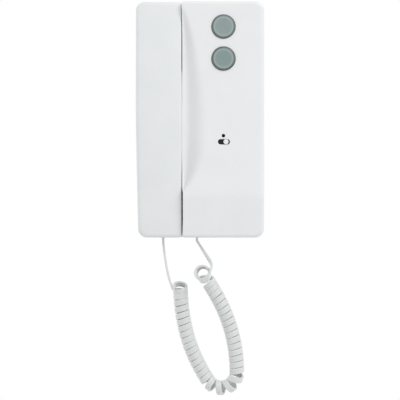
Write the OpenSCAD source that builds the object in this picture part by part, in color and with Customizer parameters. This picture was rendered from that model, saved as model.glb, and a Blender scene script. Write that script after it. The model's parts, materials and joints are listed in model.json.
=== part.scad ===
// Wall audio door phone: a handset in its cradle, two call buttons, a lamp, a slide switch and a curly cord.
// X runs to the right and Z up. The wall is the plane Y = 0 and the front faces -Y, so depth d is at Y = -d.

/* [Body] */
// Height of the body on the wall
body_h = 210; // [200:1:225]
// Width of the body with the handset in place
body_w = 114; // [108:1:126]
// Distance from the wall to the flat front face
body_d = 50; // [48:0.5:56]
// Corner radius of the body's outline
corner_r = 8; // [6:0.5:11]
// Radius of the front edges along the top and the right
edge_r = 3; // [1:0.5:4]
// Wall of the mouldings
wall = 2.4; // [2:0.1:2.8]
// Depth of the rear housing on the wall
housing_d = 16; // [15:0.5:17]
// Step from the cover's edge in to the rear housing
housing_step = 1; // [0.6:0.1:1.6]
// Gap round a piece that moves in the cover
run_gap = 0.35; // [0.3:0.05:0.5]
// Gap round a piece that is pushed in once
fit_gap = 0.1; // [0.05:0.05:0.2]

/* [Chin] */
// Height of the chin below its fold
chin_h = 36.7; // [30:0.1:40]
// How far the chin falls back at the bottom edge
chin_back = 7; // [5:0.5:11]
// Radius of the fold above the chin
fold_r = 30; // [10:1:40]
// Radius of the bottom edge
chin_r = 3; // [2:0.5:6]

/* [Finger scoop] */
// Width of the scoop beside the handset
scoop_w = 23.2; // [18:0.1:23.4]
// How much deeper the scoop is than the ledge at its edge
scoop_dip = 0.5; // [0.2:0.1:1]
// Height of the scoop's widest place below the middle of the body
scoop_down = 16; // [0:1:25]
// Distance from the top edge to the scoop
scoop_top = 6.5; // [5:0.5:16]
// Distance from the bottom edge to the scoop
scoop_bottom = 42; // [38:0.5:60]
// Width of the ledge under the handset's edge
ledge_w = 1.8; // [1.4:0.1:2]

/* [Handset] */
// Width of the handset
handset_w = 40.7; // [38:0.1:42]
// Slit between the handset and the tower
slit = 0.6; // [0.5:0.1:1.4]
// Radius of the long bow of the handset's front
bow_r = 882; // [800:1:1000]
// Height of the bow's crest above the middle of the body
crest_z = 21; // [15:1:25]
// Fall of the handset's front from its middle to its edges
crown = 1; // [0.5:0.1:1.5]
// Radius of the handset's front edge on the left
grip_edge_r = 3; // [2:0.5:4]
// Radius of the handset's front edge along the slit
slit_edge_r = 1; // [0.5:0.1:2]
// Radius of the handset's end edges
end_r = 4; // [2:0.5:5]
// How much the left side draws in towards the bottom
taper = 1.6; // [0:0.1:2]
// Thickness of the grip
grip_t = 14.4; // [13.5:0.1:15]
// Depth of the front shell, from its crest to the joint line
split_t = 6; // [5.5:0.1:7]
// Length of the ear cup
ear_cup_h = 58; // [54:1:62]
// Length of the mouth cup
mouth_cup_h = 41; // [38:1:44]
// Gap between the grip and its saddle
grip_gap = 0.5; // [0.4:0.1:0.8]
// How far the cradle and the housing stay in behind the handset's left side
cradle_inset = 2.4; // [2:0.1:4]

/* [Buttons] */
// Diameter of a button
button_dia = 20.6; // [18:0.1:23]
// Distance of the buttons, the lamp and the switch from the right side
control_right = 36.2; // [33:0.1:38]
// Distance of the upper button from the top edge
button_top = 23; // [20:0.1:26]
// Distance between the two buttons
button_pitch = 28.3; // [27:0.1:32]
// How far a button stands out of the cover
button_proud = 1.8; // [1:0.1:2.5]
// Width of the bevel round a button
button_bevel = 1.9; // [1:0.1:2.5]
// Travel of a button
button_travel = 1.3; // [0.8:0.1:1.6]

/* [Lamp and switch] */
// Diameter of the lamp dot
lamp_dia = 2.6; // [2:0.1:3]
// Height of the lamp below the middle of the body
lamp_down = 14.5; // [12:0.1:18]
// Distance from the lamp down to the slot
slot_down = 5.4; // [5.3:0.1:8]
// Length of the slot
slot_l = 10.6; // [9:0.1:12]
// Height of the slot
slot_h = 4.7; // [4.4:0.1:5]
// How far the knob stands out of the cover
knob_proud = 1.2; // [0.6:0.1:2]

/* [Cord] */
// Width of the flat cord
cord_w = 4.8; // [3:0.1:4.9]
// Thickness of the flat cord
cord_t = 2.2; // [1.6:0.1:2.3]
// Radius of the curls, to the middle of the cord
curl_r = 5.7; // [5:0.1:5.7]
// Distance of the cord's sockets from the wall
socket_d = 27; // [26:0.5:28]
// Distance from the left side to the handset's socket
handset_socket_x = 23.8; // [20:0.1:26]
// Distance from the slit to the base's socket
base_socket_x = 13; // [12:0.1:15]

/* [Wall fixing] */
// Distance between the two wall screws
wall_hole_pitch = 120; // [100:1:140]
// Diameter of a wall-screw hole
wall_hole_dia = 4.6; // [4:0.1:5.5]
// Diameter of the cable entry
cable_dia = 14; // [10:0.5:16]

/* [Hidden] */
$fn = 48;

white = [0.93, 0.94, 0.95];
grey = [0.56, 0.62, 0.62];
black = [0.1, 0.1, 0.11];
steel = [0.7, 0.71, 0.72];
green = [0.15, 0.4, 0.24];
clear = [0.8, 0.84, 0.86];

// Edges of the body
left = -body_w / 2;
right = body_w / 2;
top = body_h / 2;
bottom = -body_h / 2;
beyond = 2;

// Front cover
handset_right = left + handset_w;
handset_x = left + handset_w / 2;
tower_left = handset_right + slit;
tower_corner_r = 2;
cover_in = body_d - wall;
fold_z = bottom + chin_h;
chin_angle = atan(chin_back / chin_h);
ledge_x = tower_left - ledge_w;
scoop_wall = 0.6;

// Handset
cup_gap = 0.3;
plate_d = housing_d + wall;
cup_d = plate_d + cup_gap;
cup_floor = cup_d + wall;
cup_inset = 0.4;
cup_clear = 3;
ear_z = top - ear_cup_h;
mouth_z = bottom + mouth_cup_h;
slit_corner_r = 2;
least_r = 0.5;
bow_span = 18;
bow_clear = 20;

// Depth of the handset's crest line at a height
function crest_d(z) = body_d - (z - crest_z) * (z - crest_z) / (2 * bow_r);

// How far the ledge under the handset's edge lies behind the flat face
function ledge_down(z) = body_d - crest_d(z) + split_t + grip_gap;
scoop_floor = body_d - ledge_down(mouth_z) - scoop_dip - wall;

// Controls
control_x = right - control_right;
upper_button_z = top - button_top;
lower_button_z = upper_button_z - button_pitch;
button_hole_r = button_dia / 2 + run_gap;
flange_t = 2.4;
flange_lip = 1.4;
stem_r = 3;
switch_side = 12;
switch_t = 8;
plunger_r = 2.7;
plunger_l = 5;
plunger_floor = 0.7;
plunger_out = 1;
lamp_z = -lamp_down;
slot_z = lamp_z - slot_down;
slot_offset = 0.4;
slot_x = control_x + slot_offset;
knob_play = 0.1;
knob_r = slot_h / 2 - run_gap - knob_play / 2;
knob_in = 1.1;
knob_x = slot_x + slot_l / 2 - slot_h / 2 - knob_in;
slide_t = 8;
slide_side = 4.2;
slide_h = 7;
track_t = 2.8;

// Board and what stands on it
board_d = 10;
board_t = 1.6;
board_face = board_d + board_t;
board_gap = 2.6;
board_side = 1.6;
board_up = 35;
board_corner_r = 2;
tab_t = 4;
board_left = tower_left + scoop_w + board_side;
board_right = right - wall - board_gap;
board_top = top - wall - board_gap - tab_t;
board_bottom = bottom + board_up;
board_hole = 4;
board_screw_l = 5;
hole_spare = 1;
post_r = 3.5;
screw_r = 1.25;
screw_head_r = 2.7;
screw_head_t = 1.9;
block_gap = 1.3;
block_l = board_right - board_left - 2 * (board_hole + screw_head_r + block_gap);
block_h = 10;
block_t = 10;
block_up = 4;
terminals = 4;
terminal_margin = 1;
terminal_pitch = (block_l - 2 * terminal_margin) / terminals;
lamp_t = 6.4;
lamp_lip = 0.2;
lamp_proud = 0.2;
stem_end = board_face + switch_t + button_travel + plunger_out;
plunger_end = stem_end - plunger_l;
ringer_r = 14;
ringer_t = 8;
ringer_z = 20;
cable_up = 21;
cable_z = bottom + cable_up;
cable_x = (board_left + board_right) / 2;

// Hook switch under the grip
hook_z = 10;
hook_r = 4;
hook_flange_r = 5.5;
hook_flange_t = 1.6;
hook_rise = 3;
hook_stop = 0.4;
saddle_in = 29;
hook_top = crest_d(hook_z) - grip_t - run_gap;
hook_flange_d = saddle_in - hook_stop - hook_rise - hook_flange_t;
hook_foot_l = 4;
hook_foot_d = hook_flange_d - hook_foot_l;
hook_switch_l = 20;
hook_switch_w = 10;
hook_switch_d = 8;

// Cord sockets and plugs
jack_w = 12;
jack_t = 2 * (socket_d - cup_floor);
jack_l = 12.4;
plug_w = 6.6;
plug_t = 7.7;
plug_l = 11.6;
plug_gap = 0.2;
plug_proud = 0.3;
mouth_gap = 0.4;
handset_jack_x = left + handset_socket_x;
base_jack_x = tower_left + base_socket_x;
plug_z = bottom - plug_proud;
jack_z = bottom + cup_inset + wall + fit_gap;

// Inside the handset
receiver_r = 15;
receiver_t = 9.5;
receiver_z = (ear_z + top) / 2;
gasket_t = 1.2;
gasket_w = 4;
mic_r = 4.9;
mic_t = 5.5;
boot_wall = 1.6;
boot_t = 5;
boot_floor = 1;
mic_down = 12;
mic_z = mouth_z - mic_down;
sound_hole_r = 1.2;
sound_ring_r = 6;
weight_w = 14;
weight_z = [-34, 22];
weight_corner_r = 2;
ear_screw_gap = 11;
mouth_screw_gap = 14;
grip_screw_z = [ear_z - ear_screw_gap, mouth_z + mouth_screw_gap];
boss_r = 3.5;
grip_head_t = 1.3;

// Cover screw and the tabs that hold the cover
tab_w = 12;
tab_d = 28;
tab_spread = 14;
tab_x = [cable_x - tab_spread, cable_x + tab_spread];
cover_screw_x = cable_x;
cover_screw_d = 22;
cover_head_t = 1.3;

// Curly cord: each stretch has its length, its turn to the right, its tilt to the front and its curls
curl_rings = 8;
cord_start = [-17.9, -30, -148.5];
cord_heading = 3;
cord_tilt = -30;
cord_stretches = [
    [11, 1, 30, 2],
    [26, 8, 0, 4.5],
    [54.5, 22, 0, 10],
    [36, 146, 0, 4],
    [75.5, 31, 0, 13.5],
    [10, 0, 0, 2],
    [13.5, 0, 76, 1],
    [10.1, 0, 0, 1.875]
];
first_curl_angle = 180;
// The last curls widen towards the base's tail
end_swell = 0.9;
end_curls = 1.5;
cord_lead = 3;
coil_sides = 6;
tail_sides = 8;

// Routes of the two tails between the plugs and the coil
handset_tail_route = [
    [-33.2, -27, -108], [-32.9, -27.3, -112.5], [-32, -28.4, -119.5], [-30.9, -30.2, -126.5],
    [-29.7, -32.2, -133], [-28.2, -34.4, -139.5], [-26.6, -36.2, -145], [-25.2, -37, -148.6],
    [-24.2, -35.8, -150.4]
];
base_tail_route = [
    [-2.7, -27, -108], [-1.2, -27, -110.6], [1.6, -28, -115], [4.6, -30.2, -119.6],
    [7.3, -33.4, -123.6], [9.5, -37.4, -127], [10.6, -41.4, -129.6], [10.3, -44.4, -131.8]
];

// Basic shapes

module slab(d0, d1) {
    rotate([90, 0, 0]) translate([0, 0, d0]) linear_extrude(d1 - d0) children();
}

module across(x0, x1) {
    translate([x0, 0, 0]) rotate([90, 0, 90]) linear_extrude(x1 - x0) children();
}

module rod(x, z, r, d0, d1) {
    translate([x, -d0, z]) rotate([90, 0, 0]) cylinder(r = r, h = d1 - d0);
}

module turned(x, z) {
    translate([x, 0, z]) rotate([90, 0, 0]) rotate_extrude() children();
}

module plate(x0, x1, z0, z1, r) {
    translate([x0 + r, z0]) square([x1 - x0 - 2 * r, z1 - z0]);
    translate([x0, z0 + r]) square([x1 - x0, z1 - z0 - 2 * r]);
    for (x = [x0 + r, x1 - r], z = [z0 + r, z1 - r]) translate([x, z]) circle(r);
}

module area(x0, x1, z0, z1) {
    translate([x0, z0]) square([x1 - x0, z1 - z0]);
}

function arc(x, y, r, a0, a1, steps = 6) =
    [for (i = [0:steps]) let (a = a0 + (a1 - a0) * i / steps) [x + r * cos(a), y + r * sin(a)]];

// Body outline and profiles

module body_outline(inset) {
    plate(left + cradle_inset + inset, right - inset, bottom + inset, top - inset, corner_r - inset);
}

// Y of the chin's face at a height, set back by an inset
function chin_y(z, inset) = -body_d + (fold_z - z) * tan(chin_angle) + inset / cos(chin_angle);

module cover_profile() {
    fold_up = fold_r * tan(chin_angle / 2);
    polygon(concat(
        [[beyond, bottom]],
        arc(chin_y(bottom + chin_r, chin_r), bottom + chin_r, chin_r, 270, 180 + chin_angle),
        arc(-body_d + fold_r, fold_z + fold_up, fold_r, 180 + chin_angle, 180),
        arc(-body_d + edge_r, top - edge_r, edge_r, 180, 90),
        [[beyond, top]]
    ));
}

module cavity_profile() {
    polygon([
        [beyond, bottom + wall],
        [chin_y(bottom + wall, wall), bottom + wall],
        [-cover_in, fold_z - wall * tan(chin_angle / 2)],
        [-cover_in, top - wall],
        [beyond, top - wall]
    ]);
}

// Handset outline and sections

module handset_outline(inset) {
    r = corner_r - inset;
    slit_r = max(slit_corner_r - inset, least_r);
    x0 = left + inset;
    x1 = handset_right - inset;
    z0 = bottom + inset;
    z1 = top - inset;
    polygon(concat(
        arc(x1 - slit_r, z1 - slit_r, slit_r, 0, 90, 4),
        arc(x0 + r, z1 - r, r, 90, 180),
        [[x0, 0]],
        arc(x0 + taper + r, z0 + r, r, 180, 270),
        arc(x1 - slit_r, z0 + slit_r, slit_r, 270, 360, 4)
    ));
}

// Turns a section about the far axis of the handset's bow: radius to the front, then X
module bowed() {
    translate([handset_x, bow_r - body_d, crest_z]) rotate([0, 90, 0]) rotate([0, 0, -90 - bow_span / 2])
        rotate_extrude(angle = bow_span, $fn = 360) children();
}

// Band of the bow between two depths under the crest
module bow_band(q0, q1, w) {
    bowed() translate([bow_r - q1, -w / 2]) square([q1 - q0, w]);
}

// Front of the handset: crowned, with round long edges
module crown_section() {
    w = handset_w / 2;
    function front(x) = bow_r - crown * pow(x / w, 2);
    function edge_in(r) = front(w - r) - r;
    polygon(concat(
        [[bow_r - grip_t, -w]],
        arc(edge_in(grip_edge_r), grip_edge_r - w, grip_edge_r, -90, 0),
        [for (i = [-2:2]) let (x = i / 3 * (w - grip_edge_r)) [front(x), x]],
        arc(edge_in(slit_edge_r), w - slit_edge_r, slit_edge_r, 0, 90),
        [[bow_r - grip_t, w]]
    ));
}

// Rounds the handset's two end edges
module end_profile() {
    polygon(concat(
        [[beyond, top]],
        arc(end_r - crest_d(top - end_r), top - end_r, end_r, 90, 180),
        [[-body_d - beyond, crest_z]],
        arc(end_r - crest_d(bottom + end_r), bottom + end_r, end_r, 180, 270),
        [[beyond, bottom]]
    ));
}

// Rebate of the rear shell that clears the ledge
module ledge_rebate(inset) {
    area(handset_right - ledge_w - inset, handset_right + beyond, mouth_z - inset, ear_z + inset);
}

module cup_outline(z0, z1, inset) {
    intersection() {
        handset_outline(cup_inset + inset);
        area(left, handset_right, z0 + inset, z1 - inset);
    }
}

// Finger scoop: a lens beside the slit, as deep as the ledge, whose flank climbs soon and runs out softly

scoop_rows = 28;
scoop_steps = 10;
scoop_run_out = 0.15;
scoop_fullness = 0.7;
scoop_valley = 0.15;
scoop_low = bottom + scoop_bottom;
scoop_high = top - scoop_top;
function scoop_z(i) = scoop_low + (scoop_high - scoop_low) * (1 - cos(180 * i / scoop_rows)) / 2;
// Share of the way from the scoop's widest place to its end
function scoop_s(z) = (z + scoop_down) / ((z > -scoop_down ? scoop_high : scoop_low) + scoop_down);
function scoop_width(z) = scoop_w * pow(1 - pow(scoop_s(z), 2), scoop_fullness);
function scoop_share(z) = pow(1 - pow(scoop_s(z), 3), z > -scoop_down ? 1 : 0.5);
function run_down(v) = pow(1 - v, 3) * (1 + 3 * v);
function scoop_fall(z, u) =
    let (rim = ledge_down(z), back = pow(max(1 - u / scoop_valley, 0), 2))
    u < scoop_valley ? rim + scoop_dip * (1 - back)
    : (rim + scoop_dip) * run_down((u - scoop_valley) / (1 - scoop_valley));
function scoop_y(z, u) = -body_d + scoop_share(z) * scoop_fall(z, u) - scoop_run_out;

module scoop() {
    stride = scoop_steps + 4;
    rows = scoop_rows - 1;
    out_y = -body_d - beyond;
    slit_x = tower_left - slit / 2;
    points = [for (i = [1:rows])
        let (z = scoop_z(i), w = scoop_width(z))
        each concat(
            [[slit_x, out_y, z], [tower_left + w, out_y, z], [slit_x, scoop_y(z, 0), z]],
            [for (j = [0:scoop_steps]) let (u = j / scoop_steps) [tower_left + w * u, scoop_y(z, u), z]]
        )];
    last = (rows - 1) * stride;
    end_loop = concat([0, 1], [for (j = [stride - 1:-1:2]) j]);
    function quad(a, b) = [[a, b, b + stride], [a, b + stride, a + stride]];
    sides = [for (i = [0:rows - 2]) let (o = i * stride) each concat(
        quad(o + 1, o), quad(o, o + 2), quad(o + stride - 1, o + 1),
        [for (j = [2:stride - 2]) each quad(o + j, o + j + 1)]
    )];
    near = [for (k = [1:len(end_loop) - 2]) [end_loop[0], end_loop[k], end_loop[k + 1]]];
    far = [for (f = near) [f[0] + last, f[2] + last, f[1] + last]];
    polyhedron(points, concat(sides, near, far));
}

// Cord sweep

function unit(v) = v / norm(v);
function sums(v) = [for (a = v[0] - v[0], i = 0; i < len(v); a = a + v[i], i = i + 1) a + v[i]];

// Section of the flat cord: half circles at both edges, joined by flat sides
function cord_section(sides) = [for (k = [0:sides - 1]) let (a = 180 * (2 * k + 1) / sides)
    [cord_t / 2 * cos(a), cord_t / 2 * sin(a) + sign(sin(a)) * (cord_w - cord_t) / 2]];

// Section set across the cord, with its thickness along one direction
function ring(p, along, out, section) =
    let (a = unit(out - (out * along) * along), b = cross(along, a))
    [for (c = section) p + c[0] * a + c[1] * b];

// Flat cord through points, each with its direction and the direction of its thickness
module ribbon(path, directions, outs, sides) {
    section = cord_section(sides);
    count = len(path);
    points = [for (i = [0:count - 1]) each ring(path[i], directions[i], outs[i], section)];
    walls = [for (i = [0:count - 2], k = [0:sides - 1])
        let (a = i * sides + k, b = i * sides + (k + 1) % sides)
        each [[a, a + sides, b], [b, a + sides, b + sides]]];
    end = (count - 1) * sides;
    caps = [for (k = [1:sides - 2]) each [[0, k, k + 1], [end, end + k + 1, end + k]]];
    polyhedron(points, concat(walls, caps));
}

// Axis of the coil, step by step
coil_steps = [for (s = cord_stretches, i = [1:s[3] * curl_rings]) [s[0], s[1], s[2]] / (s[3] * curl_rings)];
coil_turns = concat([[cord_heading, cord_tilt]],
    [for (t = sums([for (s = coil_steps) [s[1], s[2]]])) [cord_heading, cord_tilt] + t]);

function coil_along(turn) =
    [sin(turn[0]) * cos(turn[1]), -sin(turn[1]), -cos(turn[0]) * cos(turn[1])];
function coil_side(turn) = [cos(turn[0]), 0, sin(turn[0])];

coil_axis = concat([cord_start], [for (p = sums([for (i = [0:len(coil_steps) - 1])
    coil_steps[i][0] * coil_along((coil_turns[i] + coil_turns[i + 1]) / 2)])) cord_start + p]);
coil_outs = [for (i = [0:len(coil_axis) - 1])
    let (a = first_curl_angle + 360 * i / curl_rings, side = coil_side(coil_turns[i]))
    cos(a) * side + sin(a) * cross(coil_along(coil_turns[i]), side)];
coil_last = len(coil_axis) - 1;
function coil_r(i) = curl_r + end_swell * max(0, 1 - (coil_last - i) / (end_curls * curl_rings));
coil_points = [for (i = [0:coil_last]) coil_axis[i] + coil_r(i) * coil_outs[i]];

// Direction of the cord at a ring: round the axis and a little along it
function coil_direction(i) =
    let (step = coil_steps[min(i, coil_last - 1)][0], along = coil_along(coil_turns[i]))
    unit(2 * PI * coil_r(i) / curl_rings * cross(along, coil_outs[i]) + step * along);

coil_start = coil_points[0] - cord_lead * coil_direction(0);
coil_end = coil_points[coil_last] + cord_lead * coil_direction(coil_last);

// Least gap of the coil to itself, between curls that lie side by side and between far stretches
module measure_coil() {
    half_curl = curl_rings / 2;
    near = 5 * half_curl;
    section = cord_section(coil_sides);
    rings = [for (i = [0:coil_last]) ring(coil_points[i], coil_direction(i), coil_outs[i], section)];
    side_gap = min([for (i = [0:coil_last - half_curl], j = [i + half_curl:min(i + near, coil_last)])
        min([for (p = rings[i], q = rings[j]) norm(p - q)])]);
    far_gap = min([for (i = [0:coil_last - near - 1], j = [i + near + 1:coil_last])
        norm(coil_points[i] - coil_points[j])]) - cord_w;
    echo(coil_gap = min(side_gap, far_gap), curls = coil_last / curl_rings);
}

// Tail from a plug's face along its route to an end of the coil
module tail(x, route, end, end_direction, end_out) {
    path = concat([[x, -socket_d, plug_z]], route, [end]);
    last = len(path) - 1;
    directions = [for (i = [0:last])
        i == 0 ? [0, 0, -1] : i == last ? end_direction : unit(path[i + 1] - path[i - 1])];
    ribbon(path, directions, [for (i = [0:last]) i == last ? end_out : [1, 0, 0]], tail_sides);
}

// Screws

module board_places() {
    for (x = [board_left + board_hole, board_right - board_hole],
         z = [board_top - board_hole, board_bottom + board_hole]) translate([x, z]) children();
}

module board_screws() {
    color(steel) {
        slab(board_d - board_screw_l, board_face) board_places() circle(screw_r);
        slab(board_face, board_face + screw_head_t) board_places() circle(screw_head_r);
    }
}

// Base

module rear_housing() {
    color(white) difference() {
        union() {
            difference() {
                slab(0, housing_d) body_outline(housing_step);
                slab(wall, housing_d + beyond) body_outline(housing_step + wall);
            }
            slab(wall - fit_gap, board_d) board_places() circle(post_r);
            slab(wall - fit_gap, hook_switch_d)
                area(handset_x - hook_switch_l / 2, handset_x + hook_switch_l / 2,
                     hook_z - hook_switch_w / 2, hook_z + hook_switch_w / 2);
            slab(wall - fit_gap, socket_d - jack_t / 2)
                area(base_jack_x - jack_w / 2, base_jack_x + jack_w / 2, jack_z + wall, jack_z + jack_l);
            slab(wall - fit_gap, tab_d) {
                for (x = tab_x)
                    area(x - tab_w / 2, x + tab_w / 2, top - wall - fit_gap - tab_t, top - wall - fit_gap);
                area(cover_screw_x - tab_w / 2, cover_screw_x + tab_w / 2,
                     bottom + wall + fit_gap, bottom + wall + fit_gap + tab_t);
            }
        }
        for (z = [-1, 1] * wall_hole_pitch / 2) rod(0, z, wall_hole_dia / 2, -beyond, wall + beyond);
        rod(cable_x, cable_z, cable_dia / 2, -beyond, wall + beyond);
        slab(board_d - board_screw_l - hole_spare, board_d + beyond)
            board_places() circle(screw_r + fit_gap / 2);
        translate([cover_screw_x, -cover_screw_d, bottom])
            cylinder(r = screw_r + fit_gap / 2, h = wall + tab_t + beyond);
    }
}

// Room for the handset: down to the ledge beside its grip, the saddle under it and the plates at its cups
module cradle_cut() {
    intersection() {
        slab(housing_d, body_d + beyond) area(left - beyond, tower_left, bottom - beyond, top + beyond);
        bow_band(-bow_clear, split_t + grip_gap, 2 * body_w);
    }
    intersection() {
        slab(housing_d, body_d + beyond) {
            area(left - beyond, ledge_x, bottom - beyond, top + beyond);
            for (s = [-1, 1]) difference() {
                r = tower_corner_r;
                area(tower_left - r, tower_left + r, s * top - r, s * top + r);
                translate([tower_left + r, s * (top - r)]) circle(r);
            }
        }
        bow_band(-bow_clear, grip_t + grip_gap, 2 * body_w);
    }
    slab(plate_d, body_d + beyond) {
        area(left - beyond, tower_left, ear_z - cup_clear, top + beyond);
        area(left - beyond, tower_left, bottom - beyond, mouth_z + cup_clear);
    }
}

module cover_cavity() {
    intersection() {
        union() {
            slab(housing_d - beyond, body_d) {
                body_cavity(tower_left + scoop_w + scoop_wall);
                area(tower_left + wall, board_left, bottom + wall, bottom + scoop_bottom - wall);
                slide_area(fit_gap);
            }
            slab(housing_d - beyond, scoop_floor) body_cavity(tower_left + wall);
        }
        across(left, right) cavity_profile();
    }
    slab(housing_d - beyond, saddle_in)
        area(left + cradle_inset + wall, tower_left + 2 * wall,
             mouth_z + cup_clear + wall, ear_z - cup_clear - wall);
}

module body_cavity(x0) {
    plate(x0, right - wall, bottom + wall, top - wall, corner_r - wall);
}

module front_cover() {
    color(white) difference() {
        intersection() {
            slab(housing_d, body_d) body_outline(0);
            across(left, right) cover_profile();
            translate([0, 0, bottom]) linear_extrude(body_h)
                plate(left - corner_r, right, -body_d, edge_r, edge_r);
        }
        cradle_cut();
        scoop();
        cover_cavity();
        for (z = [upper_button_z, lower_button_z])
            turned(control_x, z) {
                square([button_hole_r, body_d + beyond]);
                square([button_dia / 2 + flange_lip + run_gap, cover_in]);
            }
        rod(control_x, lamp_z, lamp_dia / 2 + fit_gap, cover_in - beyond, body_d + beyond);
        slab(cover_in - beyond, body_d + beyond) slot_outline();
        rod(handset_x, hook_z, hook_r + run_gap, saddle_in - beyond, body_d);
        slab(socket_d - plug_t / 2 - mouth_gap, socket_d + plug_t / 2 + mouth_gap)
            area(base_jack_x - plug_w / 2 - mouth_gap, base_jack_x + plug_w / 2 + mouth_gap,
                 bottom - beyond, bottom + wall + beyond);
        translate([cover_screw_x, -cover_screw_d, bottom - beyond]) {
            cylinder(r = screw_r + run_gap, h = 2 * beyond + wall);
            cylinder(r = screw_head_r + run_gap, h = beyond + cover_head_t);
        }
    }
}

module slot_outline() {
    r = slot_h / 2;
    x = slot_l / 2 - r;
    area(slot_x - x, slot_x + x, slot_z - r, slot_z + r);
    for (s = [-1, 1]) translate([slot_x + s * x, slot_z]) circle(r);
}

// The slide switch's outline, with room around it
module slide_area(room) {
    x = slot_l / 2 + slide_side + room;
    z = slide_h / 2 + room;
    area(slot_x - x, slot_x + x, slot_z - z, slot_z + z);
}

module cover_screw() {
    color(steel) translate([cover_screw_x, -cover_screw_d, bottom]) {
        cylinder(r = screw_head_r, h = cover_head_t);
        cylinder(r = screw_r, h = wall + tab_t);
    }
}

module main_board() {
    color(green) slab(board_d, board_face) difference() {
        plate(board_left, board_right, board_bottom, board_top, board_corner_r);
        board_places() circle(screw_r + fit_gap);
    }
}

terminal_z = board_bottom + block_up + block_h / 2;
terminal_floor = board_face + block_t / 2;
function terminal_x(n) = cable_x + (n - (terminals + 1) / 2) * terminal_pitch;

module terminal_block() {
    z0 = board_bottom + block_up;
    color(grey) difference() {
        slab(board_face, board_face + block_t)
            area(cable_x - block_l / 2, cable_x + block_l / 2, z0, z0 + block_h);
        for (n = [1:terminals]) {
            rod(terminal_x(n), terminal_z, screw_head_r + fit_gap,
                terminal_floor, board_face + block_t + beyond);
            translate([terminal_x(n), -board_face - block_t / 4, z0 - beyond])
                cylinder(r = screw_r, h = block_h / 2 + beyond);
        }
    }
}

module terminal_screws() {
    color(steel) for (n = [1:terminals])
        rod(terminal_x(n), terminal_z, screw_head_r, terminal_floor, terminal_floor + screw_head_t);
}

// Call buttons and their switches

module button(z, tint) {
    r = button_dia / 2;
    face = body_d + button_proud;
    flange = cover_in - run_gap;
    color(tint) turned(control_x, z) polygon([
        [0, stem_end], [stem_r, stem_end], [stem_r, flange - flange_t],
        [r + flange_lip, flange - flange_t], [r + flange_lip, flange], [r, flange],
        [r, face - button_bevel / 2], [r - button_bevel, face], [0, face]
    ]);
}

module plunger(z) {
    color(black) rod(control_x, z, plunger_r, plunger_end, stem_end);
}

module push_switch(z) {
    s = switch_side / 2;
    color(black) difference() {
        slab(board_face, board_face + switch_t) area(control_x - s, control_x + s, z - s, z + s);
        rod(control_x, z, plunger_r + run_gap, plunger_end - button_travel - plunger_floor, body_d);
    }
}

module upper_button() button(upper_button_z, grey);
module upper_plunger() plunger(upper_button_z);
module upper_switch() push_switch(upper_button_z);
module lower_button() button(lower_button_z, grey);
module lower_plunger() plunger(lower_button_z);
module lower_switch() push_switch(lower_button_z);

// Lamp, slide switch and ringer

module status_lamp() {
    color(clear) rod(control_x, lamp_z, lamp_dia / 2 + lamp_lip, board_face, board_face + lamp_t);
}

module light_pipe() {
    color(black) rod(control_x, lamp_z, lamp_dia / 2, board_face + lamp_t, body_d + lamp_proud);
}

module slide_switch() {
    color(black) difference() {
        slab(cover_in - slide_t, cover_in) slide_area(0);
        slab(cover_in - track_t, cover_in + beyond) slot_outline();
    }
}

module slider_knob() {
    face = body_d + knob_proud;
    foot = cover_in - track_t + run_gap;
    dome = 0.6;
    color(white) turned(knob_x, slot_z) polygon(concat(
        [[0, foot], [knob_r, foot]],
        arc(knob_r - dome, face - dome, dome, 0, 90),
        [[0, face]]
    ));
}

module ringer() {
    color(black) difference() {
        rod(cable_x, ringer_z, ringer_r, board_face, board_face + ringer_t);
        rod(cable_x, ringer_z, sound_hole_r, board_face + ringer_t / 2, board_face + ringer_t + beyond);
    }
}

// Hook switch

module hook_plunger() {
    dome = 0.8;
    color(white) turned(handset_x, hook_z) polygon(concat(
        [[0, hook_foot_d], [hook_r, hook_foot_d], [hook_r, hook_flange_d], [hook_flange_r, hook_flange_d],
         [hook_flange_r, hook_flange_d + hook_flange_t], [hook_r, hook_flange_d + hook_flange_t]],
        arc(hook_r - dome, hook_top - dome, dome, 0, 90),
        [[0, hook_top]]
    ));
}

module hook_switch() {
    color(black) slab(hook_switch_d, hook_foot_d - run_gap)
        area(handset_x - hook_switch_l / 2, handset_x + hook_switch_l / 2,
             hook_z - hook_switch_w / 2, hook_z + hook_switch_w / 2);
}

// Cord sockets, plugs and cord

module jack(x) {
    color(black) difference() {
        slab(socket_d - jack_t / 2, socket_d + jack_t / 2)
            area(x - jack_w / 2, x + jack_w / 2, jack_z, jack_z + jack_l);
        slab(socket_d - plug_t / 2 - plug_gap, socket_d + plug_t / 2 + plug_gap)
            area(x - plug_w / 2 - plug_gap, x + plug_w / 2 + plug_gap,
                 jack_z - beyond, plug_z + plug_l + plug_gap);
    }
}

module plug(x) {
    color(clear) slab(socket_d - plug_t / 2, socket_d + plug_t / 2)
        area(x - plug_w / 2, x + plug_w / 2, plug_z, plug_z + plug_l);
}

module base_socket() jack(base_jack_x);
module base_plug() plug(base_jack_x);
module handset_socket() jack(handset_jack_x);
module handset_plug() plug(handset_jack_x);

module cord_coil() {
    path = concat([coil_start], coil_points, [coil_end]);
    rings = concat([0], [for (i = [0:coil_last]) i], [coil_last]);
    measure_coil();
    color(white)
        ribbon(path, [for (i = rings) coil_direction(i)], [for (i = rings) coil_outs[i]], coil_sides);
}

module cord_handset_tail() {
    color(white) tail(handset_jack_x, handset_tail_route, coil_start, coil_direction(0), -coil_outs[0]);
}

module cord_base_tail() {
    color(white)
        tail(base_jack_x, base_tail_route, coil_end, -coil_direction(coil_last), coil_outs[coil_last]);
}

// Handset

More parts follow.
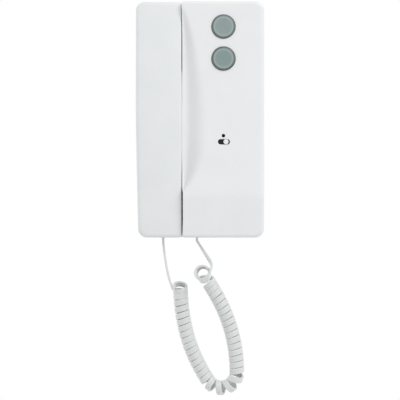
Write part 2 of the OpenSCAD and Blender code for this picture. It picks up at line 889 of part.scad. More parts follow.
module handset_front_shell() {
    color(white) {
        difference() {
            intersection() {
                bowed() crown_section();
                bow_band(-beyond, split_t, handset_w + beyond);
                slab(cup_d, body_d + beyond) handset_outline(0);
                across(left, handset_right) end_profile();
            }
            intersection() {
                bow_band(wall + crown, split_t + beyond, handset_w);
                slab(cup_d, body_d + beyond) handset_outline(wall);
            }
        }
        for (z = grip_screw_z) difference() {
            rod(handset_x, z, boss_r, crest_d(z) - grip_t + wall + fit_gap, crest_d(z) - wall);
            rod(handset_x, z, screw_r + fit_gap / 2, 0, crest_d(z) - 2 * wall);
        }
    }
}

module handset_rear_shell() {
    color(white) difference() {
        intersection() {
            union() {
                bow_band(split_t, grip_t, handset_w);
                slab(cup_d, body_d) {
                    cup_outline(ear_z, top, 0);
                    cup_outline(bottom, mouth_z, 0);
                }
            }
            bow_band(split_t, 2 * body_d, handset_w);
            slab(cup_d, body_d) difference() {
                handset_outline(0);
                ledge_rebate(0);
            }
        }
        intersection() {
            bow_band(split_t - beyond, grip_t - wall, handset_w);
            slab(cup_d, body_d) difference() {
                handset_outline(wall);
                ledge_rebate(wall);
            }
        }
        slab(cup_floor, body_d) {
            cup_outline(ear_z, top, wall);
            cup_outline(bottom, mouth_z, wall);
        }
        for (z = grip_screw_z) {
            rod(handset_x, z, screw_r + run_gap, 0, body_d);
            rod(handset_x, z, screw_head_r + run_gap, 0, crest_d(z) - grip_t + grip_head_t);
        }
        slab(0, cup_floor + beyond) {
            translate([handset_x, receiver_z]) {
                circle(sound_hole_r);
                for (a = [0:60:300]) translate(sound_ring_r * [cos(a), sin(a)]) circle(sound_hole_r);
            }
            translate([handset_x, mic_z]) circle(sound_hole_r);
        }
        slab(socket_d - plug_t / 2 - mouth_gap, socket_d + plug_t / 2 + mouth_gap)
            area(handset_jack_x - plug_w / 2 - mouth_gap, handset_jack_x + plug_w / 2 + mouth_gap,
                 bottom - beyond, bottom + 2 * wall);
    }
}

module receiver() {
    back_d = cup_floor + gasket_t;
    color(black) rod(handset_x, receiver_z, receiver_r, back_d, back_d + receiver_t);
}

module receiver_gasket() {
    color(grey) difference() {
        rod(handset_x, receiver_z, receiver_r, cup_floor, cup_floor + gasket_t);
        rod(handset_x, receiver_z, receiver_r - gasket_w, cup_floor - beyond, cup_floor + gasket_t + beyond);
    }
}

module microphone() {
    color(steel) rod(handset_x, mic_z, mic_r, cup_floor + boot_floor, cup_floor + boot_floor + mic_t);
}

module microphone_boot() {
    color(black) difference() {
        rod(handset_x, mic_z, mic_r + fit_gap + boot_wall, cup_floor, cup_floor + boot_t);
        rod(handset_x, mic_z, mic_r + fit_gap, cup_floor + boot_floor, cup_floor + boot_t + beyond);
        rod(handset_x, mic_z, sound_hole_r, cup_floor - beyond, cup_floor + boot_t);
    }
}

module handset_weight() {
    color(steel) intersection() {
        bow_band(split_t + fit_gap, grip_t - wall, handset_w);
        slab(cup_d, body_d)
            plate(handset_x - weight_w / 2, handset_x + weight_w / 2,
                  weight_z[0], weight_z[1], weight_corner_r);
    }
}

module handset_screws() {
    color(steel) for (z = grip_screw_z) {
        head_d = crest_d(z) - grip_t + grip_head_t;
        rod(handset_x, z, screw_head_r, head_d - grip_head_t + fit_gap, head_d);
        rod(handset_x, z, screw_r, head_d - fit_gap, crest_d(z) - 2 * wall - fit_gap);
    }
}

rear_housing();
front_cover();
cover_screw();
main_board();
board_screws();
terminal_block();
terminal_screws();
upper_button();
upper_plunger();
upper_switch();
lower_button();
lower_plunger();
lower_switch();
status_lamp();
light_pipe();
slide_switch();
slider_knob();
ringer();
hook_plunger();
hook_switch();
base_socket();
base_plug();
cord_base_tail();
cord_coil();
cord_handset_tail();
handset_plug();
handset_socket();
handset_front_shell();
handset_rear_shell();
receiver();
receiver_gasket();
microphone();
microphone_boot();
handset_weight();
handset_screws();
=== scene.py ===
import json
import math

import bmesh
import bpy
import numpy as np
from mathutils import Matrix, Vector


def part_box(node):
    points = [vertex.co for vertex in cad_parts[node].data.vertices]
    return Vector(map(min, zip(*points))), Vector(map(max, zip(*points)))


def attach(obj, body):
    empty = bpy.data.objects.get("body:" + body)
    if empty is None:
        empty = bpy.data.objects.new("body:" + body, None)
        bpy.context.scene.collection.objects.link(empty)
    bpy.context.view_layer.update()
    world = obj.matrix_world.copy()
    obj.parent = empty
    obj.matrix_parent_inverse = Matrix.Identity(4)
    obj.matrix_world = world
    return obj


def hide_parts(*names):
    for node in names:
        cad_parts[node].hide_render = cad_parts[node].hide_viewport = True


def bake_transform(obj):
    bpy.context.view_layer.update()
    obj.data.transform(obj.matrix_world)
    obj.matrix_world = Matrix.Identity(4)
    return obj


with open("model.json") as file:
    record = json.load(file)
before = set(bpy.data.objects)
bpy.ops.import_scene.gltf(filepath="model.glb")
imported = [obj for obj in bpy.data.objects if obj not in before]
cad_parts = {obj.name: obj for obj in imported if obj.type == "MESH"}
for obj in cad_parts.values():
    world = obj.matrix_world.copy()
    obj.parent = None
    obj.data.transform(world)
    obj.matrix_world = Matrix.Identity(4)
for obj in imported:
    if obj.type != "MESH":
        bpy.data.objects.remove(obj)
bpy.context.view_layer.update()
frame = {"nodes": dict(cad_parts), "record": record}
mm = 0.001
print("frame loaded:", len(frame["nodes"]), "nodes")

# Corners of the pieces that the others are placed by
coverLow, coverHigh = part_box("front_cover")
handsetLow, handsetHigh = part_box("handset_front_shell")
housingLow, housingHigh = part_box("rear_housing")
frontY = coverLow.y
top = coverHigh.z
bottom = coverLow.z


def middleOf(node):
    low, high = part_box(node)
    return (low + high) / 2, (high - low) / 2


# A piece's lengths, given in millimetres
def lengths(**sizes):
    return {key: tuple(s * mm for s in size) if isinstance(size, tuple) else size * mm
            for key, size in sizes.items()}


# Shader sockets as values: sums and products add Math nodes, and node() adds any other kind
class Wire:
    def __init__(self, tree, socket=None):
        self.tree = tree
        self.socket = socket

    def node(self, kind, settings, sockets, out=0):
        made = self.tree.nodes.new(kind)
        for key, value in settings.items():
            setattr(made, key, value)
        for key, value in sockets.items():
            self.feed(made.inputs[key], value)
        return Wire(self.tree, made.outputs[out])

    def feed(self, target, value):
        if isinstance(value, Wire):
            self.tree.links.new(value.socket, target)
        else:
            target.default_value = value

    def calc(self, operation, first, second=0.0):
        return self.node("ShaderNodeMath", {"operation": operation}, {0: first, 1: second})

    def __add__(self, other):
        return self.calc("ADD", self, other)

    __radd__ = __add__

    def __sub__(self, other):
        return self.calc("SUBTRACT", self, other)

    def __rsub__(self, other):
        return self.calc("SUBTRACT", other, self)

    def __mul__(self, other):
        return self.calc("MULTIPLY", self, other)

    __rmul__ = __mul__

    def between(self, low, high):
        span = {"From Min": low, "From Max": high, "Value": self}
        return self.node("ShaderNodeMapRange", {"interpolation_type": "SMOOTHSTEP"}, span)

    def mixed(self, first, second):
        ends = {0: self, 6: first, 7: second}  # a Mix node's factor and its two colours
        return self.node("ShaderNodeMix", {"data_type": "RGBA"}, ends, 2)

    def noise(self, where, scale, detail=2.0, rough=0.5):
        return self.node("ShaderNodeTexNoise", {}, {
            "Vector": where, "Scale": scale, "Detail": detail, "Roughness": rough})

    def bump(self, height, distance, strength=1.0, onto=None):
        sockets = {"Height": height, "Distance": distance, "Strength": strength}
        if onto is not None:
            sockets["Normal"] = onto
        return self.node("ShaderNodeBump", {}, sockets)

    def mapped(self, where, scale, location=(0, 0, 0)):
        return self.node("ShaderNodeMapping", {}, {"Vector": where, "Scale": scale, "Location": location})


# A new material: its wire, its place coordinates, and the step that feeds its shader and hands it over
def newFinish(name):
    material = bpy.data.materials.new(name)
    material.use_nodes = True
    wire = Wire(material.node_tree)
    where = wire.node("ShaderNodeTexCoord", {}, {}, "Object")
    shader = material.node_tree.nodes["Principled BSDF"]

    def finish(values):
        for key, value in values.items():
            wire.feed(shader.inputs[key], value)
        return material
    return wire, where, finish


# Moulded plastic: a fine spark-eroded grain, slow waves of the moulding, and handling marks in the gloss
def mouldedFinish(name, color, shade, gloss, grain):
    wire, where, finish = newFinish(name)
    cloud = wire.noise(where, 45, 3)
    marks = wire.noise(where, 240, 4, 0.6)
    fine = wire.noise(where, grain["scale"], 2)
    wave = wire.noise(where, 28, 1)
    swirl = wire.bump(wave, grain["wave"])
    return finish({
        "Base Color": cloud.between(0.3, 0.7).mixed((*color, 1), (*shade, 1)),
        "Roughness": gloss + 0.10 * marks.between(0.35, 0.75) + 0.05 * cloud,
        "Normal": wire.bump(fine, grain["depth"], 1.0, swirl),
        "IOR": 1.5,
    })


shellGrain = {"scale": 2600, "depth": 0.006 * mm, "wave": 0.05 * mm}
shellFinish = mouldedFinish("shellWhite", (0.835, 0.845, 0.855), (0.815, 0.828, 0.84), 0.34, shellGrain)
# The handset's white is the shell's white a little darker: painted shade over the whole handset
handsetShadedFinish = mouldedFinish("handsetWhite", (0.8, 0.818, 0.826), (0.78, 0.8, 0.81), 0.34, shellGrain)
greyFinish = mouldedFinish(
    "terminalGrey", (0.29, 0.31, 0.31), (0.26, 0.28, 0.28), 0.42,
    {"scale": 3200, "depth": 0.008 * mm, "wave": 0.02 * mm})
blackFinish = mouldedFinish(
    "blackPlastic", (0.016, 0.016, 0.017), (0.022, 0.022, 0.023), 0.38,
    {"scale": 3600, "depth": 0.006 * mm, "wave": 0.02 * mm})
rubberFinish = mouldedFinish(
    "gasketRubber", (0.03, 0.03, 0.031), (0.045, 0.044, 0.043), 0.7,
    {"scale": 2200, "depth": 0.02 * mm, "wave": 0.04 * mm})


# Button grey: fine grain, a paler ring on the bevel that is a painted highlight, and a darker outer edge that
# is painted shade, by the distance from the axis
def buttonFinish(name, shades, centre, rings):
    wire, where, finish = newFinish(name)
    about = wire.mapped(where, (1, 0, 1), (-centre.x, 0, -centre.z))
    radius = wire.node("ShaderNodeVectorMath", {"operation": "LENGTH"}, {0: about}, "Value")
    ragged = radius + 0.25 * mm * wire.noise(where, 900, 3)
    # painted highlight: a paler, slightly glossier ring on the bevel, between the first two radii of rings
    worn = ragged.between(rings[0], rings[1]) * (1 - ragged.between(rings[2], rings[3]))
    # painted shade: the cap's outer edge is darker past the last two radii of rings
    edge = ragged.between(rings[2], rings[3])
    cloud = wire.noise(where, 160, 3)
    marks = wire.noise(where, 520, 4, 0.6)
    fine = wire.noise(where, 3200, 2)
    face = cloud.between(0.3, 0.7).mixed((*shades["face"], 1), (*shades["dim"], 1))
    return finish({
        "Base Color": edge.mixed(worn.mixed(face, (*shades["worn"], 1)), (*shades["edge"], 1)),
        "Roughness": 0.34 + 0.12 * marks.between(0.35, 0.75) - 0.08 * worn,
        "Normal": wire.bump(fine, 0.008 * mm, 1.0, wire.bump(cloud, 0.03 * mm)),
        "IOR": 1.5,
    })


# Steel: fine drawn lines in the gloss, and duller patches
def steelFinish(name, color, dull, stretch):
    wire, where, finish = newFinish(name)
    drawn = wire.noise(wire.mapped(where, stretch), 1400, 3)
    patches = wire.noise(where, 210, 3)
    return finish({
        "Base Color": patches.between(0.35, 0.7).mixed((*color, 1), (*dull, 1)),
        "Metallic": 1.0,
        "Roughness": 0.24 + 0.16 * drawn + 0.12 * patches.between(0.45, 0.7),
        "Normal": wire.bump(drawn, 0.008 * mm),
    })


screwSteel = steelFinish("screwSteel", (0.6, 0.6, 0.6), (0.5, 0.49, 0.47), (1, 1, 1))
plainSteel = steelFinish("plainSteel", (0.55, 0.55, 0.55), (0.42, 0.41, 0.39), (1, 1, 0.08))


# Clear plastic: faint flow lines and a little haze, with light passing through
def clearFinish(name, color, tint):
    wire, where, finish = newFinish(name)
    flow = wire.noise(wire.mapped(where, (1, 1, 0.2)), 420, 2)
    haze = wire.noise(where, 900, 3)
    return finish({
        "Base Color": flow.between(0.3, 0.7).mixed((*color, 1), (*tint, 1)),
        "Roughness": 0.07 + 0.12 * haze,
        "Normal": wire.bump(flow, 0.02 * mm),
        "Transmission Weight": 0.7,
        "IOR": 1.49,
    })


plugFinish = clearFinish("plugClear", (0.9, 0.92, 0.92), (0.84, 0.87, 0.88))


# Circuit board: resist over tracks that run in two directions, and rows of tinned pads
def boardFinish(name):
    wire, where, finish = newFinish(name)
    region = wire.noise(where, 60, 1).between(0.48, 0.52)
    tracks = [wire.node("ShaderNodeTexWave", {"bands_direction": way}, {"Vector": where, "Scale": 190}, "Fac")
              for way in ("X", "Z")]
    lines = region * tracks[0].between(0.62, 0.7) + (1 - region) * tracks[1].between(0.62, 0.7)
    spots = wire.node("ShaderNodeTexVoronoi", {}, {
        "Vector": wire.mapped(where, (1, 0, 1)), "Scale": 394, "Randomness": 0}, "Distance")
    pads = (1 - spots.between(0.2, 0.25)) * wire.noise(where, 90, 1).between(0.55, 0.58)
    resist = lines.mixed((0.012, 0.09, 0.035, 1), (0.02, 0.14, 0.055, 1))
    return finish({
        "Base Color": pads.mixed(resist, (0.62, 0.61, 0.58, 1)),
        "Metallic": pads,
        "Roughness": 0.4 - 0.1 * pads + 0.1 * wire.noise(where, 500, 3),
        "Normal": wire.bump(lines + pads, 0.05 * mm),
    })


resistFinish = boardFinish("boardGreen")


# Dark lens: near black, with a faint noise in its colour, gloss and surface, and a weak reflection
def lensFinish(name):
    wire, where, finish = newFinish(name)
    smoke = wire.noise(where, 600, 2)
    return finish({
        "Base Color": smoke.mixed((0.002, 0.002, 0.002, 1), (0.006, 0.005, 0.005, 1)),
        "Roughness": 0.22 + 0.1 * smoke,
        "Normal": wire.bump(smoke, 0.01 * mm),
        "Specular IOR Level": 0.15,
    })


lensBlack = lensFinish("lensBlack")
print("finishes mixed")


# Mesh building: quads between rows of point indices
def gridIndex(rows, columns):
    return np.arange(rows * columns).reshape(rows, columns)


def gridQuads(index):
    corners = [index[:-1, :-1], index[:-1, 1:], index[1:, 1:], index[1:, :-1]]
    return np.stack(corners, axis=-1).reshape(-1, 4)


def borderLoop(index):
    return np.concatenate([index[0], index[1:, -1], index[-1, -2::-1], index[-2:0:-1, 0]])


def loopQuads(first, second):
    return np.stack([first, np.roll(first, -1), np.roll(second, -1), second], axis=-1)


crease = 38  # edges that turn by more degrees than this stay sharp


def placed(name, data):
    made = bpy.data.objects.new(name, data)
    bpy.context.scene.collection.objects.link(made)
    return made


def addPiece(name, points, faces, sharp=crease):
    mesh = bpy.data.meshes.new(name)
    mesh.from_pydata(np.asarray(points).reshape(-1, 3).tolist(), [], [list(f) for f in faces])
    tidy = bmesh.new()
    tidy.from_mesh(mesh)
    bmesh.ops.remove_doubles(tidy, verts=tidy.verts, dist=1e-6)
    bmesh.ops.recalc_face_normals(tidy, faces=tidy.faces)
    tidy.to_mesh(mesh)
    tidy.free()
    piece = placed(name, mesh)
    shadeSmooth(piece, sharp)
    return piece


def shadeSmooth(piece, sharp=crease):
    mesh = piece.data
    mesh.polygons.foreach_set("use_smooth", np.ones(len(mesh.polygons), bool))
    mesh.set_sharp_from_angle(angle=math.radians(sharp))


# Shell: an outer and an inner skin on grids of one size, joined along their borders by a rim at a given Y
def shellPiece(name, outer, inner, rimY):
    rows, columns = outer.shape[:2]
    out = gridIndex(rows, columns)
    count = rows * columns
    inn = out + count
    outLoop, innLoop = borderLoop(out), borderLoop(inn)
    points = np.concatenate([outer.reshape(-1, 3), inner.reshape(-1, 3)])
    rims = []
    for loop in (outLoop, innLoop):
        rim = points[loop].copy()
        rim[:, 1] = rimY(rim[:, 2])
        rims.append(rim)
    border = len(outLoop)
    outRim = 2 * count + np.arange(border)
    faces = np.concatenate([
        gridQuads(out), gridQuads(inn)[:, ::-1], loopQuads(outLoop, outRim),
        loopQuads(outRim, outRim + border), loopQuads(outRim + border, innLoop)])
    return addPiece(name, np.concatenate([points, *rims]), faces)


# Closed loft through rings of one size, for cutters, plugs and the cord
def loftParts(rings):
    count, size = rings.shape[:2]
    index = gridIndex(count, size)
    faces = [loopQuads(a, b) for a, b in zip(index[:-1], index[1:])]
    caps = [index[0][::-1].tolist(), index[-1].tolist()]
    return rings.reshape(-1, 3), np.concatenate(faces).tolist() + caps


# Cuts closed lofts out of a piece, all in one pass
def cutPiece(piece, lofts):
    points, faces, first = [], [], 0
    for rings in lofts:
        loftPoints, loftFaces = loftParts(rings)
        points.append(loftPoints)
        faces += [[first + i for i in face] for face in loftFaces]
        first += len(loftPoints)
    cutter = addPiece("cutter", np.concatenate(points), faces)
    cut = piece.modifiers.new("cut", "BOOLEAN")
    cut.solver = "EXACT"
    cut.object = cutter
    bpy.context.view_layer.update()
    carved = bpy.data.meshes.new_from_object(piece.evaluated_get(bpy.context.evaluated_depsgraph_get()))
    piece.modifiers.clear()
    piece.data = carved
    piece.data.name = piece.name
    bpy.data.objects.remove(cutter)
    shadeSmooth(piece)


# A finished piece rides on its body, stands for its node, and takes its slot and finish
def dress(piece, body, node, finish):
    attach(piece, body)
    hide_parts(node)
    piece.data.materials.append(finish)


# Even angles over a quarter turn, both ends included, and round a whole turn
def quarterTurn(steps):
    return np.linspace(0, math.pi / 2, steps)


def wholeTurn(count):
    return np.linspace(0, 2 * math.pi, count, endpoint=False)


# Numbers from 0 to 1 across a width, close together over a round edge at each end
def edgeSpaced(width, nearEdge, farEdge, edgeSteps, middleSteps):
    turn = 1 - np.cos(quarterTurn(edgeSteps))
    middle = np.linspace(nearEdge, width - farEdge, middleSteps)[1:-1]
    return np.concatenate([nearEdge * turn, middle, width - farEdge * turn[::-1]]) / width


# Heights from the bottom to the top, close together over round corners and at chosen heights
def heightRows(low, high, corner, cornerSteps, step, extra=()):
    turn = corner * (1 - np.sin(quarterTurn(cornerSteps)))
    middle = np.arange(low + corner, high - corner, step)
    return np.unique(np.round(np.concatenate([low + turn, middle, high - turn, *extra]), 8))


# Rows scaled about their middle, so that each end comes in by the inset
def drawnTogether(rows, inset):
    middle, half = (rows[-1] + rows[0]) / 2, (rows[-1] - rows[0]) / 2
    return middle + (rows - middle) * (half - inset) / half


# A round corner of radius r draws a border in by r - sqrt(r^2 - (r - d)^2) at a distance d from its end
def drawnIn(distance, radius):
    reach = np.clip(1 - distance / radius, 0, 1)
    return radius * (1 - np.sqrt(1 - reach * reach))


# Distances in from the upper and the lower end of an outline
def fromEnds(z, low, high, inset):
    return {"up": high - inset - z, "down": z - low - inset}


# Distance in from a rounded outline: to the nearest side, or inside a corner's square to the corner's arc
def insideBy(sides, corners):
    near = np.minimum.reduce(np.broadcast_arrays(*sides.values()))
    for across, radius in corners.items():
        for along in ("up", "down"):
            a, b = radius - sides[across], radius - sides[along]
            inCorner = (a > 0) & (b > 0)
            near = np.where(inCorner, np.minimum(near, radius - np.hypot(a, b)), near)
    return np.maximum(near, 0)


# Smooth step from 0 to 1: 3 u^2 - 2 u^3
def ease(u):
    return u * u * (3 - 2 * u)


def stacked(x, y, z):
    return np.stack(np.broadcast_arrays(x, y, z), axis=-1)


# Handset: a long bow with a slight crown, and a round edge all the way
handset = lengths(
    bow=882, crestZ=21, crown=1, grip=14.4, split=6, edge=3.2, slitEdge=1, slitTrim=0.15, backEdge=1.8,
    leftCorner=8, slitCorner=2, taper=1.6, wall=2, seam=0.12, cupInset=0.4, rebate=1.8,
    earZ=47, mouthZ=-64, cupSlope=1.2, rowStep=3.2)
handsetX = (handsetLow.x + handsetHigh.x) / 2
handsetHalf = (handsetHigh.x - handsetLow.x) / 2
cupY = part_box("handset_rear_shell")[1].y


# Bow: an arc about the crest, so at a distance d from it the face falls back by r - sqrt(r^2 - d^2)
def bowFall(z):
    return handset["bow"] - np.sqrt(handset["bow"] ** 2 - (z - handset["crestZ"]) ** 2)


# The left side comes in evenly from the middle down to the lower corner
def handsetLeft(z):
    low = bottom + handset["leftCorner"]
    return handsetLow.x + handset["taper"] * np.clip(z / low, 0, 1)


# Rows and columns of the handset's outline, and how far the surface falls away over its round edges
def handsetField(edge, slitEdge, inset, extra=(), rebate=lambda z: 0 * z):
    leftCorner, slitCorner = handset["leftCorner"], handset["slitCorner"]
    rows = drawnTogether(heightRows(bottom, top, leftCorner, 16, handset["rowStep"], extra), inset)
    share = edgeSpaced(2 * handsetHalf, edge, slitEdge, 10, 18)
    z = rows[:, None]
    upDown = fromEnds(z, bottom, top, inset)
    ends = np.minimum(*upDown.values())
    right = handsetHigh.x - handset["slitTrim"] - inset - rebate(z)
    x0 = handsetLeft(z) + inset + drawnIn(ends, leftCorner)
    x1 = right - drawnIn(ends, slitCorner)
    x = x0 + (x1 - x0) * share
    fromLeft = insideBy({"left": x - handsetLeft(z) - inset, **upDown}, {"left": leftCorner})
    fromSlit = insideBy({"right": right - x, **upDown}, {"right": slitCorner})
    return x, z, np.maximum(drawnIn(fromLeft, edge), drawnIn(fromSlit, slitEdge))


# Face: the bow, and a crown that falls with the square of the distance from the middle line
def handsetFront(x, z):
    return frontY + bowFall(z) + handset["crown"] * ((x - handsetX) / handsetHalf) ** 2


def handsetSeam(z):
    return frontY + bowFall(z) + handset["split"]


x, z, fall = handsetField(handset["edge"], handset["slitEdge"], 0)
outerSkin = stacked(x, handsetFront(x, z) + fall, z)
x, z, fall = handsetField(handset["edge"] / 2, handset["slitEdge"] / 2, handset["wall"])
innerSkin = stacked(x, handsetFront(x, z) + handset["wall"] + fall, z)
handsetFace = shellPiece("handsetFace", outerSkin, innerSkin, lambda z: handsetSeam(z) - handset["seam"])
dress(handsetFace, "handset", "handset_front_shell", handsetShadedFinish)
print("handset face:", len(handsetFace.data.polygons), "faces")


# Back of the handset: the grip follows the bow, and the ear and mouth cups reach back to the cradle
def cupShare(z, inset):
    slope = handset["cupSlope"]
    ear = np.clip((z - handset["earZ"] - inset) / slope, 0, 1)
    mouth = np.clip((handset["mouthZ"] - inset - z) / slope, 0, 1)
    return ease(np.maximum(ear, mouth))


def handsetBack(z, inset):
    grip = frontY + bowFall(z) + handset["grip"]
    return grip + (cupY - grip) * cupShare(z, inset)


# Between the cups the back is set in beside the slit, over the ledge that the handset's edge rests along
def gripRebate(z):
    return handset["rebate"] * (1 - cupShare(z, 0))


cupSteps = np.linspace(0, handset["cupSlope"], 7)
cupRows = (handset["earZ"] + cupSteps, handset["mouthZ"] - cupSteps)
backEdge = handset["backEdge"]
x, z, fall = handsetField(backEdge, backEdge, handset["cupInset"] / 2, cupRows, gripRebate)
outerSkin = stacked(x, handsetBack(z, 0) - fall, z)
x, z, fall = handsetField(backEdge, backEdge, handset["wall"], cupRows, gripRebate)
innerSkin = stacked(x, handsetBack(z, handset["wall"]) - handset["wall"], z)
handsetBackShell = shellPiece("handsetBack", outerSkin, innerSkin, handsetSeam)


# Rings for cutters and pegs: a circle or a rounded slot, carried along Y or Z with a flare at the mouth
def roundRing(radius, count):
    angle = wholeTurn(count)
    return radius * np.cos(angle), radius * np.sin(angle)


def slotRing(halfLength, halfHeight, radius, count=16):
    turn = quarterTurn(count)
    a, b = halfLength - radius, halfHeight - radius
    quarters = [(a, b, 0), (-a, b, 1), (-a, -b, 2), (a, -b, 3)]
    angles = [turn + k * math.pi / 2 for _, _, k in quarters]
    u = np.concatenate([cu + radius * np.cos(t) for (cu, _, _), t in zip(quarters, angles)])
    v = np.concatenate([cv + radius * np.sin(t) for (_, cv, _), t in zip(quarters, angles)])
    return u, v


def alongY(centreX, centreZ, stations):
    return np.stack([stacked(centreX + u, y, centreZ + v) for y, (u, v) in stations])


def alongZ(centreX, centreY, stations):
    return np.stack([stacked(centreX + u, centreY + v, z) for z, (u, v) in stations])


drillOut = 4 * mm  # how far a drill stands out of the surface


# A drill along Y or Z that flares to a round lip of a given size at the surface
def lipStations(surfaceY, deepY, ring, lip):
    away = 1 if deepY > surfaceY else -1
    turn = quarterTurn(6)
    flared = [(surfaceY + away * lip * (1 - math.cos(t)), ring(lip * (1 - math.sin(t)))) for t in turn]
    return [(surfaceY - away * drillOut, ring(lip)), *flared, (deepY, ring(0))]


def roundDrill(centreX, centreZ, surfaceY, deepY, radius, lip, count):
    stations = lipStations(surfaceY, deepY, lambda out: roundRing(radius + out, count), lip)
    return alongY(centreX, centreZ, stations)


receiverZ, micZ = (middleOf(node)[0].z for node in ("receiver", "microphone"))
sound = lengths(hole=1.2, ring=6, lip=0.25, deep=4)


def soundHole(holeX, holeZ):
    return roundDrill(holeX, holeZ, cupY, cupY - sound["deep"], sound["hole"], sound["lip"], 24)


around = [k * math.pi / 3 for k in range(6)]
soundHoles = [soundHole(handsetX, receiverZ), soundHole(handsetX, micZ)]
soundHoles += [soundHole(handsetX + sound["ring"] * math.cos(a), receiverZ + sound["ring"] * math.sin(a))
               for a in around]
screwLow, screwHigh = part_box("handset_screws")
screwWell = lengths(head=2.7, gap=0.35, lip=0.3, gripDeep=5, edgeDeep=6)
gripScrews = [screwLow.z + screwWell["head"], screwHigh.z - screwWell["head"]]
wellR = screwWell["head"] + screwWell["gap"]
screwWells = []
for wellZ in gripScrews:
    wellY = handsetBack(np.array(wellZ), 0)
    screwWells.append(roundDrill(
        handsetX, wellZ, wellY, wellY - screwWell["gripDeep"], wellR, screwWell["lip"], 40))
plugMouth = lengths(gap=0.4, round=0.8, lip=0.4, deep=8)


# Mouth for a cord plug in a lower edge, with room around the plug
def plugCut(node, surfaceZ):
    middle, half = middleOf(node)
    u0, v0 = half.x + plugMouth["gap"], half.y + plugMouth["gap"]

    def ring(lip):
        return slotRing(u0 + lip, v0 + lip, plugMouth["round"] + lip, 8)
    stations = lipStations(surfaceZ, surfaceZ + plugMouth["deep"], ring, plugMouth["lip"])
    return alongZ(middle.x, middle.y, stations)


mouthCut = plugCut("handset_plug", bottom + handset["cupInset"] / 2)
cutPiece(handsetBackShell, [*soundHoles, *screwWells, mouthCut])
dress(handsetBackShell, "handset", "handset_rear_shell", handsetShadedFinish)
print("handset back:", len(handsetBackShell.data.polygons), "faces")

# Front cover: the tower with its scoop and chin, and the cradle under the handset, on one grid
cover = {
    **lengths(
        wall=2.2, slit=0.6, ledge=1.8, corner=8, towerCorner=2, leastCorner=0.3, roll=3, lip=0.6,
        slitOpen=0.5, slitRun=4, slitClose=-86, slitTop=0.4, slitTopFrom=62, chinFold=-68.3, foldRadius=30,
        scoopWidth=23.2, scoopDip=0.5, scoopLow=-63, scoopMiddle=-16, scoopHigh=98.5,
        plate=18.4, saddleLow=-61, saddleHigh=44, saddleSlope=1, gripGap=0.5,
        cradleWidth=37, cradleEdge=1, cradleInner=0.2, rowStep=2, flankStep=0.7, flankPast=1),
    "slitShut": 0.7, "chinSlope": 7 / 36.7, "scoopValley": 0.15,
}
towerLeft = handsetHigh.x + cover["slit"]


# The slit opens a little beside the chin, from the scoop's end, and narrows towards the bottom and top edges
def slitWiden(z):
    opened = ease(np.clip((cover["scoopLow"] - z) / cover["slitRun"] + 0.5, 0, 1))
    closed = ease(np.clip((cover["slitClose"] - z) / (cover["slitClose"] - bottom), 0, 1))
    above = ease(np.clip((z - cover["slitTopFrom"]) / (top - cover["slitTopFrom"]), 0, 1))
    return cover["slitOpen"] * opened * (1 - cover["slitShut"] * closed) - cover["slitTop"] * above


# Chin: straight below the fold, and an arc of the fold's radius between it and the flat face
def chinFall(z):
    angle = math.atan(cover["chinSlope"])
    start = cover["chinFold"] + cover["foldRadius"] * math.tan(angle / 2)
    below = np.clip(start - z, 0, None)
    radius = cover["foldRadius"]
    arc = radius - np.sqrt(np.maximum(radius ** 2 - np.minimum(below, radius * math.sin(angle)) ** 2, 0))
    past = np.clip(below - radius * math.sin(angle), 0, None)
    return arc + past * cover["chinSlope"]


# Scoop: from its middle to its ends the depth falls as 1 - s^3, or below the middle as the square root of
# that, and the width as (1 - s^2)^0.7
def scoopReach(z):
    above = z > cover["scoopMiddle"]
    end = np.where(above, cover["scoopHigh"], cover["scoopLow"])
    s = np.clip((z - cover["scoopMiddle"]) / (end - cover["scoopMiddle"]), 0, 1)
    return (1 - s ** 3) ** np.where(above, 1.0, 0.5), cover["scoopWidth"] * (1 - s * s) ** 0.7


# Across, it starts level with the ledge, dips into a shallow valley, then climbs soon and runs out softly to
# the face: over the share v of the climb that is done, (1 - v)^3 (1 + 3 v) of the depth is left
def scoopFall(x, z):
    share, width = scoopReach(z)
    u = np.clip((x - towerLeft) / np.maximum(width, 0.01 * mm), 0, 1)
    rim = bowFall(z) + handset["split"] + cover["gripGap"]
    valley = cover["scoopValley"]
    dip = rim + cover["scoopDip"] * (1 - (1 - np.minimum(u / valley, 1)) ** 2)
    done = np.clip((u - valley) / (1 - valley), 0, 1)
    return share * dip * (1 - done) ** 3 * (1 + 3 * done)


def towerFront(x, z):
    return frontY + chinFall(z) + scoopFall(x, z)


# Cradle: plates behind the two cups, and between them a floor that follows the bow at a given depth
def cradleFloor(z, depth, inset):
    floorY = frontY + bowFall(z) + depth + cover["gripGap"]
    slope = cover["saddleSlope"]
    up = np.clip((cover["saddleHigh"] - inset - z) / slope, 0, 1)
    down = np.clip((z - cover["saddleLow"] - inset) / slope, 0, 1)
    return -cover["plate"] + (floorY + cover["plate"]) * ease(np.minimum(up, down))


def cradleFront(z, inset):
    return cradleFloor(z, handset["grip"], inset)


def coverRows():
    fine = np.linspace(0, cover["saddleSlope"], 6)
    extra = (cover["saddleHigh"] - fine, cover["saddleLow"] + fine)
    return heightRows(bottom, top, cover["corner"], 14, cover["rowStep"], extra)


